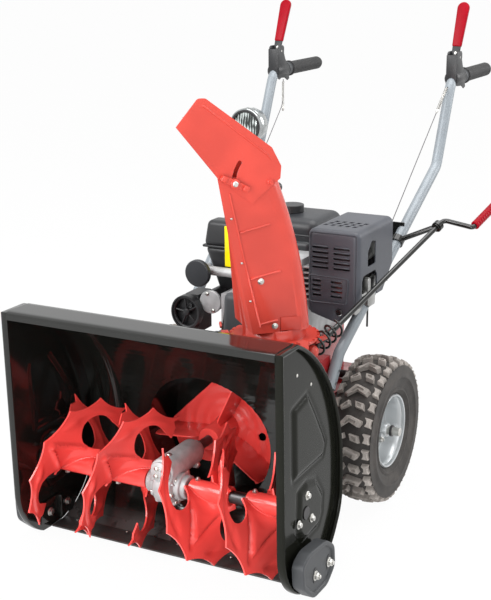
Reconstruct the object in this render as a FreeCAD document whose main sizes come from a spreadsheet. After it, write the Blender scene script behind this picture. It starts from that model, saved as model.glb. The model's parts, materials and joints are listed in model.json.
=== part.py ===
import FreeCAD, Part
from FreeCAD import Placement, Rotation, Vector
import math
import os
import re

# A two-stage walk-behind snow blower. Millimetres; x is across the machine, y runs from the auger opening (front,
# negative) to the operator's grips (rear, positive), and z is up from the ground.
document = FreeCAD.newDocument("snow_blower")
sheet = document.addObject("Spreadsheet::Sheet", "sizes")

SIZES = dict(
    # auger housing
    front_y=-668, housing_half=294, sheet_wall=3, rim_depth=16, housing_top=510, top_depth=68, lip_drop=13,
    auger_back=118, auger_height=160, drum_radius=152, drum_knee=195, opening_radius=148,
    panel_rise=4, scraper_wall=4, scraper_wide=50,
    # auger and gearbox
    auger_radius=145, auger_shaft_radius=12.7, hub_radius=20, hub_length=90, unit_spacing=128, unit_first=95,
    flight_pitch=210, flight_wall=3.5, flight_sweep=196, worm_offset=37, gear_radius=26.5, worm_radius=10,
    gearbox_half=45.5, running_gap=0.05, seat_gap=0.3,
    # impeller and fan
    fan_depth=126, impeller_radius=141, impeller_shaft_radius=10, blade_depth=82,
    # skids
    skid_wall=24, skid_bolt_radius=4,
    # chute
    chute_x=125, chute_back=336, ring_height=426, ring_radius=92, ring_wall=4, chute_radius=66,
    chute_wall=2.5, collar_height=22,
    flange_radius=94, chute_rest_turn=45, chute_top=774, deflector_gap=0.6, deflector_wall=2.5,
    # frame, axle and wheels
    frame_rear=720, frame_half=185, frame_top=350, frame_bottom=108, axle_back=571,
    axle_radius=9.5, wheel_radius=165, tyre_centre=258, tyre_wide=100, lug_height=12, lug_count=18,
    rim_radius=79, bulkhead_back=497,
    # belts and friction drive
    pulley_gap=24, pulley_wide=20, engine_pulley_radius=34, impeller_pulley_radius=78, belt_wall=9,
    traction_pulley_radius=52, traction_height=265, disc_radius=74, disc_back=540, disc_wall=8,
    disc_shaft_radius=10, friction_radius=62, hex_radius=9,
    cover_half=100, cover_deep=90, cover_top=515,
    # engine
    crank_height=456, crank_radius=12, block_front=500, guard_front=515, tank_top=612,
    # handles
    tube_radius=12.5, tube_wall=2, handle_x=240, grip_height=888, grip_end=1338,
    elbow_back=975, elbow_height=690, lever_pivot_back=1085, lever_pivot_height=938,
    lever_width=14, lever_length=143,
    sleeve_width=30, sleeve_start=24,
    grip_length=188,
    # chute crank
    rod_radius=5, crank_arm=76, crank_pin_radius=4, crank_grip_length=92, spiral_radius=19, spiral_wire=2.5,
    lamp_radius=45,
)
for row, (alias, value) in enumerate(SIZES.items(), start=1):
    sheet.set(f"A{row}", alias)
    sheet.set(f"B{row}", str(value))
    sheet.setAlias(f"B{row}", alias)
document.recompute()

# Places that follow from the driving sizes
PLACES = dict(
    auger_y="front_y + auger_back",
    fan_height="auger_height + worm_offset",
    fan_rear="front_y + drum_back + fan_depth",
    drum_back="auger_back + drum_radius",
    rim_x="housing_half + rim_depth",
    chute_y="front_y + chute_back",
    flange_height="ring_height + ring_wall + seat_gap",
    axle_y="front_y + axle_back",
    frame_front_y="fan_rear",
    frame_rear_y="front_y + frame_rear",
    bulkhead_y="front_y + bulkhead_back",
    pulley_y="frame_front_y + pulley_gap",
    block_y="front_y + block_front",
    guard_y="front_y + guard_front",
    disc_y="front_y + disc_back",
    cover_y="frame_front_y + 6",
    hex_y="disc_y + disc_wall + friction_radius + seat_gap",
    traction_y="pulley_y + 32",
    foot_x="frame_half + tube_radius + seat_gap",
    elbow_y="front_y + elbow_back",
    grip_y="front_y + grip_end",
    pivot_y="front_y + lever_pivot_back",
)
WORD = re.compile(r"[a-z][a-z_]*")


def formula(rule):
    """The rule as an expression on the sheet: places are written out and sizes get the sheet's name."""
    def swap(found):
        word = found.group()
        if word in PLACES:
            return "(" + formula(PLACES[word]) + ")"
        return "sizes." + word if word in SIZES else word
    return WORD.sub(swap, str(rule))


def number(rule):
    return float(sheet.evalExpression(formula(rule)))


parts = []


def keep(label, item):
    item.Label = label
    parts.append(item)
    return item


def box(name, x, y, z):
    item = document.addObject("Part::Box", name)
    for side, axis, (low, high) in zip(("Length", "Width", "Height"), "xyz", (x, y, z)):
        item.setExpression(side, formula(f"({high}) - ({low})"))
        item.setExpression(f".Placement.Base.{axis}", formula(low))
    return item


TURNS = {"x": Rotation(Vector(0, 1, 0), 90), "y": Rotation(Vector(1, 0, 0), -90), "z": Rotation()}


def cylinder(name, axis, radius, across, along):
    """A cylinder along an axis: across holds the two other coordinates in x, y, z order, along the two ends."""
    item = document.addObject("Part::Cylinder", name)
    item.Placement = Placement(Vector(), TURNS[axis])
    item.setExpression("Radius", formula(radius))
    item.setExpression("Height", formula(f"({along[1]}) - ({along[0]})"))
    others = [letter for letter in "xyz" if letter != axis]
    item.setExpression(f".Placement.Base.{axis}", formula(along[0]))
    for letter, rule in zip(others, across):
        item.setExpression(f".Placement.Base.{letter}", formula(rule))
    return item


def joined(name, *items):
    item = document.addObject("Part::MultiFuse", name)
    item.Shapes = list(items)
    return item


def cut(name, base, *tools):
    item = document.addObject("Part::Cut", name)
    item.Base = base
    item.Tool = tools[0] if len(tools) == 1 else joined(name + "_tools", *tools)
    return item


def rounded(name, base, radius, wanted):
    """Rounds the edges of a base that the test named wanted picks out."""
    document.recompute()
    item = document.addObject("Part::Fillet", name)
    item.Base = base
    size = number(radius)
    item.Edges = [(i, size, size) for i, edge in enumerate(base.Shape.Edges, start=1) if wanted(edge)]
    return item


def feature(name, shape):
    item = document.addObject("Part::Feature", name)
    item.Shape = shape
    return item


def edge_along(edge, axis):
    if edge.Curve.TypeId != "Part::GeomLine":
        return False
    return abs(abs(edge.Curve.Direction.dot(axis)) - 1) < 1e-6


def wire(plane, level, first, *steps):
    """A closed wire: each step is a corner, or a pair of a point on an arc and the arc's end."""
    places = {
        "XY": lambda a, b: Vector(a, b, level),
        "XZ": lambda a, b: Vector(a, level, b),
        "YZ": lambda a, b: Vector(level, a, b),
    }
    at = places[plane]
    start = here = at(*first)
    edges = []
    for step in steps:
        if isinstance(step[0], tuple):
            there = at(*step[1])
            edges.append(Part.Arc(here, at(*step[0]), there).toShape())
        else:
            there = at(*step)
            edges.append(Part.LineSegment(here, there).toShape())
        here = there
    if here.distanceToPoint(start) > 1e-6:
        edges.append(Part.LineSegment(here, start).toShape())
    return Part.Wire(edges)


NORMALS = {"XY": Vector(0, 0, 1), "XZ": Vector(0, 1, 0), "YZ": Vector(1, 0, 0)}


def slab(plane, low, high, first, *steps):
    return Part.Face(wire(plane, low, first, *steps)).extrude(NORMALS[plane] * (high - low))


ROLES = {"XY": "XY_Plane", "XZ": "XZ_Plane", "YZ": "YZ_Plane"}


def padded(name, plane, low, high, flat):
    """A PartDesign body with a flat wire, drawn in XY, as its sketch on the plane, padded from low to high."""
    body = document.addObject("PartDesign::Body", name)
    base = next(item for item in body.Origin.OriginFeatures if item.Role == ROLES[plane])
    sketch = body.newObject("Sketcher::SketchObject", name + "_outline")
    sketch.AttachmentSupport = [(base, "")]
    sketch.MapMode = "FlatFace"
    level = f"-({high})" if plane == "XZ" else low
    sketch.setExpression(".AttachmentOffset.Base.z", formula(level))
    for edge in flat.Edges:
        ends = [vertex.Point for vertex in edge.Vertexes]
        if edge.Curve.TypeId == "Part::GeomLine":
            sketch.addGeometry(Part.LineSegment(ends[0], ends[1]))
        else:
            middle = edge.valueAt((edge.FirstParameter + edge.LastParameter) / 2)
            sketch.addGeometry(Part.Arc(ends[0], middle, ends[1]))
    pad = body.newObject("PartDesign::Pad", name + "_pad")
    pad.Profile = sketch
    pad.setExpression("Length", formula(f"({high}) - ({low})"))
    body.Tip = pad
    document.recompute()
    return body


def run(points, bend):
    """A path of straight runs with a tangent arc of the bend radius at each corner."""
    points = [Vector(*point) for point in points]
    edges = []
    here = points[0]
    for before, corner, after in zip(points, points[1:], points[2:]):
        back = (before - corner).normalize()
        on = (after - corner).normalize()
        half = back.getAngle(on) / 2
        reach = bend / math.tan(half)
        start, end = corner + back * reach, corner + on * reach
        centre_way = (back + on).normalize()
        middle = corner + centre_way * (bend / math.sin(half) - bend)
        edges.append(Part.LineSegment(here, start).toShape())
        edges.append(Part.Arc(start, middle, end).toShape())
        here = end
    edges.append(Part.LineSegment(here, points[-1]).toShape())
    return Part.Wire(edges)


def swept(path, radius):
    start = path.Edges[0]
    way = start.tangentAt(start.FirstParameter)
    ring = Part.Wire(Part.Circle(start.valueAt(start.FirstParameter), way, radius).toShape())
    return path.makePipeShell([ring], True, True)


def rod_between(start, end, radius):
    start, end = Vector(*start), Vector(*end)
    return Part.makeCylinder(radius, start.distanceToPoint(end), start, end - start)


def mirrored(shape):
    return shape.mirror(Vector(), Vector(1, 0, 0))


# ---- auger housing --------------------
front_y, auger_y = number("front_y"), number("auger_y")
auger_height, drum_radius, wall = number("auger_height"), number("drum_radius"), number("sheet_wall")
housing_half, housing_top = number("housing_half"), number("housing_top")
top_depth, drum_knee = number("top_depth"), number("drum_knee")
drum_back = number("front_y + drum_back")


def drum_outline(grow):
    """Corners of the drum's cross-section from the bottom round its curved back to the top, grown outwards."""
    radius = drum_radius + grow
    low = math.radians(-75)
    lowest = (auger_y + radius * math.cos(low), auger_height + radius * math.sin(low))
    middle = (auger_y + radius * math.cos(low / 2), auger_height + radius * math.sin(low / 2))
    back = drum_back + grow
    top = housing_top - wall + grow
    # the upper curve starts upright at the knee and meets the flat top at its rear edge
    deep, tall = drum_back - front_y - top_depth, housing_top - wall - drum_knee
    bow = (deep * deep + tall * tall) / (2 * deep) + grow
    centre = drum_back + grow - bow
    end_angle = math.asin((top - drum_knee) / bow)
    via = (centre + bow * math.cos(end_angle / 2), drum_knee + bow * math.sin(end_angle / 2))
    end = (centre + bow * math.cos(end_angle), top)
    curve = [lowest, (middle, (back, auger_height)), (back, drum_knee), (via, end)]
    return curve


inner, outer = drum_outline(0), drum_outline(wall)
flange_reach = auger_y + 8
lip_bottom = housing_top - number("lip_drop")
profile = [
    outer[0], outer[1], outer[2], outer[3], (front_y, housing_top), (front_y, lip_bottom),
    (front_y + wall, lip_bottom), (front_y + wall, housing_top - wall), inner[3][1],
    (inner[3][0], inner[2]), (inner[1][1]), (inner[1][0], inner[0]),
    (flange_reach, inner[0][1]), (flange_reach, outer[0][1]),
]
drum = padded("drum_sheet", "YZ", "-housing_half + seat_gap", "housing_half - seat_gap",
              wire("XY", 0, *profile))
fan_hole = cylinder("fan_hole", "y", "opening_radius", ("0", "fan_height"), ("auger_y + 40", "fan_rear"))
scraper_bolt_y = auger_y + 22
scraper_bolt_places = (-250, -125, 0, 125, 250)
scraper_holes = feature("scraper_holes", Part.makeCompound([
    Part.makeCylinder(3.1, 30, Vector(x, scraper_bolt_y, 0)) for x in scraper_bolt_places
]))
keep("auger_housing", cut("auger_housing_cut", drum, fan_hole, scraper_holes))

drum_fill = feature("drum_fill", slab("YZ", -housing_half, housing_half, outer[0], *outer[1:],
                                      (front_y - 50, housing_top), (front_y - 50, outer[0][1])))

scraper_top = outer[0][1]
scraper = box("scraper_blank", ("-housing_half + 2", "housing_half - 2"),
              ("auger_y + 36 - scraper_wide", "auger_y + 36"),
              (f"{scraper_top} - scraper_wall", str(scraper_top)))
keep("scraper_bar", cut("scraper_cut", scraper, scraper_holes))


# ---- side plates --------------------
def plate_outline(inset):
    """The side plate's outline, which laps over the drum's edge, drawn in by an inset."""
    lap = wall + 2 - inset
    grown = drum_outline(lap)
    radius = drum_radius + lap - 3
    low_end = (auger_y - 20, auger_height - radius)
    rise, slope = math.radians(20), math.radians(30)
    low_mid = (auger_y + radius * math.sin(rise), auger_height - radius * math.cos(rise))
    side = (auger_y + radius * math.cos(slope), auger_height - radius * math.sin(slope))
    return [
        (front_y - 2 + inset, housing_top + 2 - inset), (front_y + 6 + inset, auger_height - 50),
        ((front_y + 26 + inset, auger_height - 108 + inset / 2), (front_y + 78, low_end[1] + 1)), low_end,
        (low_mid, side), ((grown[1][1][0] - 2, auger_height - 30), grown[1][1]), grown[2], grown[3],
    ]


def side_plate(side, sign):
    """A pressed sheet with a rim turned outwards all round."""
    whole, inside = (wire("XY", 0, *plate_outline(inset)) for inset in (0, wall))
    if sign > 0:
        sheet_range = ("housing_half", "rim_x")
        hollow_range = ("housing_half + sheet_wall", "rim_x + 5")
    else:
        sheet_range = ("-(rim_x)", "-housing_half")
        hollow_range = ("-(rim_x) - 5", "-housing_half - sheet_wall")
    return cut("plate_sheet_" + side, padded("plate_whole_" + side, "YZ", *sheet_range, whole),
               padded("plate_hollow_" + side, "YZ", *hollow_range, inside))


def panel_shapes(sign):
    """The two pressed panels of a side plate, raised outwards."""
    low = housing_half + wall
    high = low + number("panel_rise")
    upper = [(70, 380), (128, 392), (158, 352), (194, 298), (209, 271), (200, 250), (74, 246)]
    lower = [(96, 208), (128, 214), (168, 204), (198, 164), (196, 128), (182, 110), (108, 104), (92, 130)]
    shapes = []
    for corners in (upper, lower):
        points = [(front_y + y, z + number("auger_height") - 160) for y, z in corners]
        solid = slab("YZ", low, high, *points)
        edges = [edge for edge in solid.Edges if edge_along(edge, Vector(1, 0, 0))]
        solid = solid.makeFillet(9, edges)
        shapes.append(solid if sign > 0 else mirrored(solid))
    return shapes


bearing_angles = (80, 200, 320)
bearing_bolt_circle = 34


def on_side(sign, y, z, radius, low, high):
    """A cylinder across a side plate, on the right for sign 1 and on the left for sign -1."""
    solid = Part.makeCylinder(radius, high - low, Vector(low, y, z), Vector(1, 0, 0))
    return solid if sign > 0 else mirrored(solid)


rim_x = number("rim_x")
bearing_bolts = [
    (auger_y + bearing_bolt_circle * math.cos(math.radians(a)),
     auger_height + bearing_bolt_circle * math.sin(math.radians(a))) for a in bearing_angles
]
skid_bolts = [(front_y + 98, 44), (front_y + 160, 44)]
bolt_radius = 3
plate_inside = housing_half
for side, sign in (("left", -1), ("right", 1)):
    body = side_plate(side, sign)
    shaft_clear = number("auger_shaft_radius + 1")
    holes = [on_side(sign, auger_y, auger_height, shaft_clear, plate_inside - 1, rim_x + 20)]
    holes += [on_side(sign, y, z, bolt_radius + 0.1, plate_inside - 1, rim_x + 20) for y, z in bearing_bolts]
    holes += [on_side(sign, y, z, number("skid_bolt_radius") + 0.1, plate_inside - 1, rim_x + 20)
              for y, z in skid_bolts]
    panels = [feature(f"panel_{side}_{i}", solid) for i, solid in enumerate(panel_shapes(sign))]
    pressed = joined("pressed_" + side, body, *panels)
    drilled = feature("plate_holes_" + side, Part.makeCompound(holes))
    keep("side_plate_" + side, cut("side_plate_cut_" + side, pressed, drilled))

# ---- skid shoes --------------------
skid_corners = [(88, 0), (150, 0), (187, 26), (183, 72), (146, 98), (70, 105), (36, 90), (40, 42)]
for side, sign in (("left", -1), ("right", 1)):
    low, high = ("rim_x + seat_gap", "rim_x + seat_gap + skid_wall")
    if sign < 0:
        low, high = f"-({high})", f"-({low})"
    shoe = padded("shoe_" + side, "YZ", low, high, wire("XY", 0, *[(front_y + y, z) for y, z in skid_corners]))
    slots = []
    for y, z in skid_bolts:
        slot = slab("YZ", rim_x - 20, rim_x + 30, (y - 5, z - 12), ((y, z - 17), (y + 5, z - 12)),
                    (y + 5, z + 12), ((y, z + 17), (y - 5, z + 12)))
        slots.append(slot if sign > 0 else mirrored(slot))
    shoe_edges = rounded("shoe_round_" + side, shoe, 8, lambda edge: edge_along(edge, Vector(1, 0, 0)))
    slot_item = feature("shoe_slots_" + side, Part.makeCompound(slots))
    keep("skid_shoe_" + side, cut("skid_shoe_cut_" + side, shoe_edges, slot_item))


def hexagon(centre, way, across, height):
    """A hexagonal head or nut with its seat at the centre, standing along way."""
    prism = Part.Face(Part.makePolygon([
        Vector(across / math.sqrt(3) * math.cos(math.radians(60 * k)),
               across / math.sqrt(3) * math.sin(math.radians(60 * k)), 0) for k in range(7)
    ])).extrude(Vector(0, 0, height))
    prism.Placement = Placement(Vector(*centre), Rotation(Vector(0, 0, 1), Vector(*way)))
    return prism


# Bolts of the housing: skid bolts with their nuts, bearing bolts and scraper bolts
fasteners = []
shoe_out = rim_x + number("seat_gap + skid_wall")
for sign in (-1, 1):
    for y, z in skid_bolts:
        shank = on_side(sign, y, z, number("skid_bolt_radius"), plate_inside - 4, shoe_out + 8)
        washer = on_side(sign, y, z, 10, shoe_out, shoe_out + 2)
        nut = hexagon((sign * (shoe_out + 2), y, z), (sign, 0, 0), 13, 7)
        head = hexagon((sign * (plate_inside - 5), y, z), (sign, 0, 0), 13, 5)
        fasteners.append(shank.multiFuse([washer, nut, head]))
    for y, z in bearing_bolts:
        level = plate_inside + wall + number("panel_rise")
        shank = on_side(sign, y, z, bolt_radius, plate_inside - 14, level + 1)
        flange = on_side(sign, y, z, 8, level, level + 1.5)
        head = hexagon((sign * (level + 1.5), y, z), (sign, 0, 0), 10, 4)
        fasteners.append(shank.multiFuse([flange, head]))
for x in scraper_bolt_places:
    head = Part.makeCylinder(7, 2, Vector(x, scraper_bolt_y, inner[0][1]), Vector(0, 0, 1))
    shank = Part.makeCylinder(3, number("scraper_wall") + wall + 2, Vector(x, scraper_bolt_y, inner[0][1]),
                              Vector(0, 0, -1))
    fasteners.append(head.fuse(shank))

# ---- auger --------------------
auger_radius, hub_radius = number("auger_radius"), number("hub_radius")
shaft_radius, gap = number("auger_shaft_radius"), number("running_gap")
hub_length, pitch, flight_wall = number("hub_length"), number("flight_pitch"), number("flight_wall")
unit_places = [number("unit_first"), number("unit_first + unit_spacing")]
fan_height = number("fan_height")


pin_offset = hub_length / 2 - 14


def around(radius, degrees):
    """A point on a circle round the auger's axis, at an angle from the rear towards the top."""
    angle = math.radians(degrees)
    return (auger_y + radius * math.cos(angle), auger_height + radius * math.sin(angle))


def flight_outline(middle):
    """The outline of one pressed flight seen along the shaft: a web from the hub that spreads into a toothed
    ribbon with a hammer-shaped head at both ends."""
    half = number("flight_sweep") / 2
    tip, root = auger_radius, auger_radius - 9
    head_in, ribbon_in, neck = auger_radius - 62, auger_radius - 46, 46
    teeth = 7
    step = 2 * half / teeth
    steps = [around(head_in, middle - half)]
    for k in range(teeth):
        angle = middle - half + k * step
        steps.append(around(tip, angle))
        steps.append(around(tip - 2, angle + 0.45 * step))
        steps.append(around(root, angle + 0.62 * step))
    steps.append(around(tip, middle + half))
    steps.append(around(head_in, middle + half))
    steps.append(around(head_in + 4, middle + half - 12))
    steps.append((around(ribbon_in + 6, middle + 62), around(ribbon_in - 6, middle + 44)))
    steps.append((around(neck + 12, middle + 38), around(neck - 8, middle + 74)))
    steps.append(around(hub_radius - 3, middle + 80))
    steps.append((around(hub_radius - 3, middle), around(hub_radius - 3, middle - 80)))
    steps.append(around(neck - 8, middle - 74))
    steps.append((around(neck + 12, middle - 38), around(ribbon_in - 6, middle - 44)))
    steps.append((around(ribbon_in + 6, middle - 62), around(head_in + 4, middle - half + 12)))
    return steps


def flight(middle):
    """One pressed flight of a left-hand unit centred on x = 0."""
    half = number("flight_sweep") / 2 + 4
    turn = 2 * half / 360
    spine = Part.makeHelix(pitch, pitch * turn, auger_radius * 0.6)
    inner_edge, outer_edge = hub_radius - 6, auger_radius + 4
    blank = Part.makePolygon([
        Vector(inner_edge, 0, -flight_wall / 2), Vector(outer_edge, 0, -flight_wall / 2),
        Vector(outer_edge, 0, flight_wall / 2), Vector(inner_edge, 0, flight_wall / 2),
        Vector(inner_edge, 0, -flight_wall / 2),
    ])
    maker = Part.BRepOffsetAPI.MakePipeShell(spine)
    maker.setBiNormalMode(Vector(0, 0, 1))
    maker.add(Part.Wire(blank))
    maker.build()
    maker.makeSolid()
    sheet_solid = maker.shape()
    # the helix climbs z while turning from +x towards +y; laid along the shaft, z becomes -x and +x the rear
    sheet_solid.translate(Vector(0, 0, -pitch * turn / 2))
    sheet_solid.rotate(Vector(), Vector(0, 0, 1), -half)
    turn_down = FreeCAD.Matrix(0, 0, -1, 0, 1, 0, 0, auger_y, 0, 1, 0, auger_height, 0, 0, 0, 1)
    sheet_solid = sheet_solid.transformGeometry(turn_down)
    sheet_solid.rotate(Vector(0, auger_y, auger_height), Vector(1, 0, 0), middle)
    outline_steps = flight_outline(middle)
    stamp = slab("YZ", -pitch / 2, pitch / 2, outline_steps[0], *outline_steps[1:])
    return sheet_solid.common(stamp)


def auger_unit(x, sign, middle):
    hub = Part.makeCylinder(hub_radius, hub_length, Vector(-hub_length / 2, auger_y, auger_height), Vector(1, 0, 0))
    unit = hub.multiFuse([flight(middle), flight(middle + 180)])
    bore = Part.makeCylinder(shaft_radius + gap, hub_length + 2,
                             Vector(-hub_length / 2 - 1, auger_y, auger_height), Vector(1, 0, 0))
    unit = unit.cut(bore)
    if sign > 0:
        unit = mirrored(unit)
    unit = unit.cut(Part.makeCylinder(3.1, 60, Vector(-pin_offset, auger_y, auger_height - 30), Vector(0, 0, 1)))
    unit.translate(Vector(sign * x, 0, 0))
    return unit


LEFT_MIDDLE, RIGHT_MIDDLE = 142, 225
pins = []
for side, sign, middle in (("left", -1, LEFT_MIDDLE), ("right", 1, RIGHT_MIDDLE)):
    for name, x in zip(("inner", "outer"), unit_places):
        keep(f"flight_{side}_{name}", feature(f"unit_{side}_{name}", auger_unit(x, sign, middle)))
        pin_x = sign * x - pin_offset
        bolt = Part.makeCylinder(3, 52, Vector(pin_x, auger_y, auger_height - 25), Vector(0, 0, 1))
        head = hexagon((pin_x, auger_y, auger_height + hub_radius), (0, 0, 1), 10, 4)
        nut = hexagon((pin_x, auger_y, auger_height - hub_radius - 5), (0, 0, 1), 10, 5)
        pins.append(bolt.multiFuse([head, nut]))
keep("shear_bolts", feature("shear_bolt_group", Part.makeCompound(pins)))

shaft = cylinder("auger_rod", "x", "auger_shaft_radius", ("auger_y", "auger_height"),
                 ("-(housing_half + sheet_wall + 6)", "housing_half + sheet_wall + 6"))
worm_wheel = cylinder("worm_wheel", "x", "gear_radius", ("auger_y", "auger_height"), ("-9", "9"))
pin_holes = feature("pin_holes", Part.makeCompound([
    Part.makeCylinder(3.1, 60, Vector(sign * x - pin_offset, auger_y, auger_height - 30))
    for sign in (-1, 1) for x in unit_places
]))
keep("auger_shaft", cut("auger_shaft_cut", joined("shaft_and_wheel", shaft, worm_wheel), pin_holes))

bearings = []
for sign in (-1, 1):
    block = on_side(sign, auger_y, auger_height, 44, housing_half - 12, housing_half)
    boss = on_side(sign, auger_y, auger_height, 22, housing_half - 15, housing_half)
    bore = on_side(sign, auger_y, auger_height, shaft_radius + gap, housing_half - 20, housing_half + 5)
    holes = [on_side(sign, y, z, 3.1, housing_half - 20, housing_half + 5) for y, z in bearing_bolts]
    bearings.append(block.fuse(boss).cut(bore.multiFuse(holes)))
keep("auger_bearings", feature("bearing_pair", Part.makeCompound(bearings)))

# ---- gearbox --------------------
case_front, case_rear = "auger_y - 34", "auger_y + 92"
gearbox = joined(
    "gearbox_blank",
    cylinder("gear_drum", "x", "gear_radius + 14", ("auger_y", "auger_height"), ("-22", "22")),
    cylinder("gear_boss", "x", "24", ("auger_y", "auger_height"), ("-gearbox_half", "gearbox_half")),
    cylinder("gear_collar", "x", "29", ("auger_y", "auger_height"), ("-gearbox_half + 12", "gearbox_half - 12")),
    cylinder("worm_case", "y", "27", ("0", "fan_height"), (case_front, case_rear)),
    cylinder("worm_cap", "y", "22", ("0", "fan_height"), (case_front + " - 7", case_rear)),
    cylinder("worm_neck", "y", "19", ("0", "fan_height"), (case_rear, case_rear + " + 12")),
    box("case_joint", ("-3", "3"), ("auger_y - 36", "auger_y + 80"), ("auger_height - 30", "fan_height + 33")),
)
gear_hollow = joined(
    "gear_hollow",
    cylinder("gear_room", "x", "gear_radius + 2", ("auger_y", "auger_height"), ("-11", "11")),
    cylinder("worm_room", "y", "worm_radius + 2", ("0", "fan_height"), ("auger_y - 30", "auger_y + 50")),
    cylinder("case_bore", "x", "auger_shaft_radius + running_gap", ("auger_y", "auger_height"), ("-60", "60")),
    cylinder("worm_bore", "y", "impeller_shaft_radius + running_gap", ("0", "fan_height"),
             ("auger_y + 40", "auger_y + 120")),
)
case_drills = feature("case_drills", Part.makeCompound([
    on_side(sign, auger_y + 34.5 * math.cos(math.radians(degrees)),
            auger_height + 34.5 * math.sin(math.radians(degrees)), 2.6, 13, 30)
    for sign in (-1, 1) for degrees in (195, 240, 300, 345)
]))
keep("gearbox_case", cut("gearbox_cut", gearbox, gear_hollow, case_drills))

# ---- impeller, its shaft with the worm, and its pulley --------------------
impeller_y = number("front_y + drum_back") + 8
plate_y = impeller_y + number("blade_depth") + 4
worm = cylinder("worm", "y", "worm_radius", ("0", "fan_height"), ("auger_y - 26", "auger_y + 26"))
drive_rod = cylinder("drive_rod", "y", "impeller_shaft_radius", ("0", "fan_height"),
                     ("auger_y + 20", "pulley_y + pulley_wide + 14"))
keep("impeller_shaft", joined("worm_and_rod", worm, drive_rod))


def polar(radius, degrees):
    return (radius * math.cos(math.radians(degrees)), fan_height + radius * math.sin(math.radians(degrees)))


impeller_radius = number("impeller_radius")
pieces = [Part.makeCylinder(26, number("blade_depth") + 10, Vector(0, impeller_y, fan_height), Vector(0, 1, 0))]
for middle in (30, 210):
    low, high = middle - 65, middle + 65
    pieces.append(slab("XZ", plate_y, plate_y + 3, polar(20, low), polar(impeller_radius, low),
                       (polar(impeller_radius, middle), polar(impeller_radius, high)), polar(20, high)))
    for edge_angle in (low, high):
        blade = Part.makeBox(impeller_radius - 20, number("blade_depth") + 4, 3, Vector(20, impeller_y, -1.5))
        blade.rotate(Vector(), Vector(0, 1, 0), -edge_angle)
        blade.translate(Vector(0, 0, fan_height))
        pieces.append(blade)
impeller = pieces[0].multiFuse(pieces[1:])
rim_guard = Part.makeCylinder(impeller_radius, 200, Vector(0, impeller_y - 20, fan_height), Vector(0, 1, 0))
impeller = impeller.common(rim_guard)
impeller = impeller.cut(Part.makeCylinder(number("impeller_shaft_radius") + 0.02, 200,
                                          Vector(0, impeller_y - 20, fan_height), Vector(0, 1, 0)))
keep("impeller", feature("impeller_blank", impeller))

# ---- fan housing --------------------
opening, fan_rear = number("opening_radius"), number("fan_rear")
ring_height, chute_x, chute_y = number("ring_height"), number("chute_x"), number("chute_y")
chute_radius = number("chute_radius")


def spout(grow, floor):
    """The duct from the fan up to the chute ring, as a solid grown outwards."""
    reach = chute_radius + grow
    low = drum_back + 4 - grow
    return slab("XZ", low, fan_rear - wall + grow,
                (opening + grow, fan_height), (chute_x + reach, ring_height + floor),
                (chute_x - reach, ring_height + floor), (10, fan_height + opening + grow - 2), (10, fan_height))


fan_outer = Part.makeCylinder(opening + wall, fan_rear - auger_y - 40, Vector(0, auger_y + 40, fan_height),
                              Vector(0, 1, 0)).fuse(spout(wall, 0))
fan_inner = Part.makeCylinder(opening, fan_rear - auger_y - 40 - wall, Vector(0, auger_y + 40, fan_height),
                              Vector(0, 1, 0)).fuse(spout(0, 1))
fan_blank = feature("fan_blank", fan_outer)
fan_room = feature("fan_room", fan_inner)
fan_boss = cylinder("fan_boss", "y", "24", ("0", "fan_height"), ("fan_rear - sheet_wall", "fan_rear + 12"))
fan_bore = cylinder("fan_bore", "y", "impeller_shaft_radius + running_gap", ("0", "fan_height"),
                    ("fan_rear - 30", "fan_rear + 30"))
keep("fan_housing", cut("fan_bored", joined("fan_and_boss", cut("fan_shell", fan_blank, fan_room, drum_fill),
                                            fan_boss), fan_bore))

# ---- chute ring, chute and deflector --------------------
rod_end = Vector(222, front_y + 400, ring_height + 2)
rod_eye = Vector(318, front_y + 775, 590)
rod_way = (rod_eye - rod_end).normalize()
ring_wall, flange_height = number("ring_wall"), number("flange_height")
ring = cylinder("ring_plate", "z", "ring_radius", ("chute_x", "chute_y"),
                ("ring_height", "ring_height + ring_wall"))
centre = Vector(chute_x, chute_y, 0)
clips = []
clip_angles = (100, 215, 330)
flange_radius, flange_wall = number("flange_radius"), 3
for angle in clip_angles:
    block = Part.makeBox(14, 20, 12, Vector(flange_radius + 0.6, -10, ring_height + ring_wall))
    foot = Part.makeBox(30, 20, ring_wall, Vector(flange_radius - 14, -10, ring_height))
    finger = Part.makeBox(24, 20, 3, Vector(flange_radius - 10, -10, flange_height + flange_wall + 0.4))
    clip = block.multiFuse([foot, finger])
    clip.rotate(Vector(), Vector(0, 0, 1), angle)
    clip.translate(centre)
    clips.append(clip)
socket_start = rod_end - rod_way * 16
ear = rod_between(socket_start, rod_end - rod_way * 4, 11)
ear_root = Vector(chute_x + 84, chute_y + 14, ring_height - 3)
ear_arm = rod_between(ear_root, socket_start + rod_way * 5, 6)
ring_extra = feature("ring_extra", clips[0].multiFuse(clips[1:] + [ear, ear_arm]))
socket_bore = feature("socket_bore", rod_between(rod_end - rod_way * 12, rod_end + rod_way * 20,
                                                 number("rod_radius + running_gap")))
ring_bore = cylinder("ring_bore", "z", "chute_radius - chute_wall", ("chute_x", "chute_y"),
                     ("ring_height - 5", "ring_height + 20"))
keep("chute_base_ring", cut("ring_cut", joined("ring_and_clips", ring, ring_extra), ring_bore, socket_bore))

chute_top, collar_height = number("chute_top"), number("collar_height")
channel_base = flange_height + flange_wall + collar_height
lift = chute_top - 774


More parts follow.
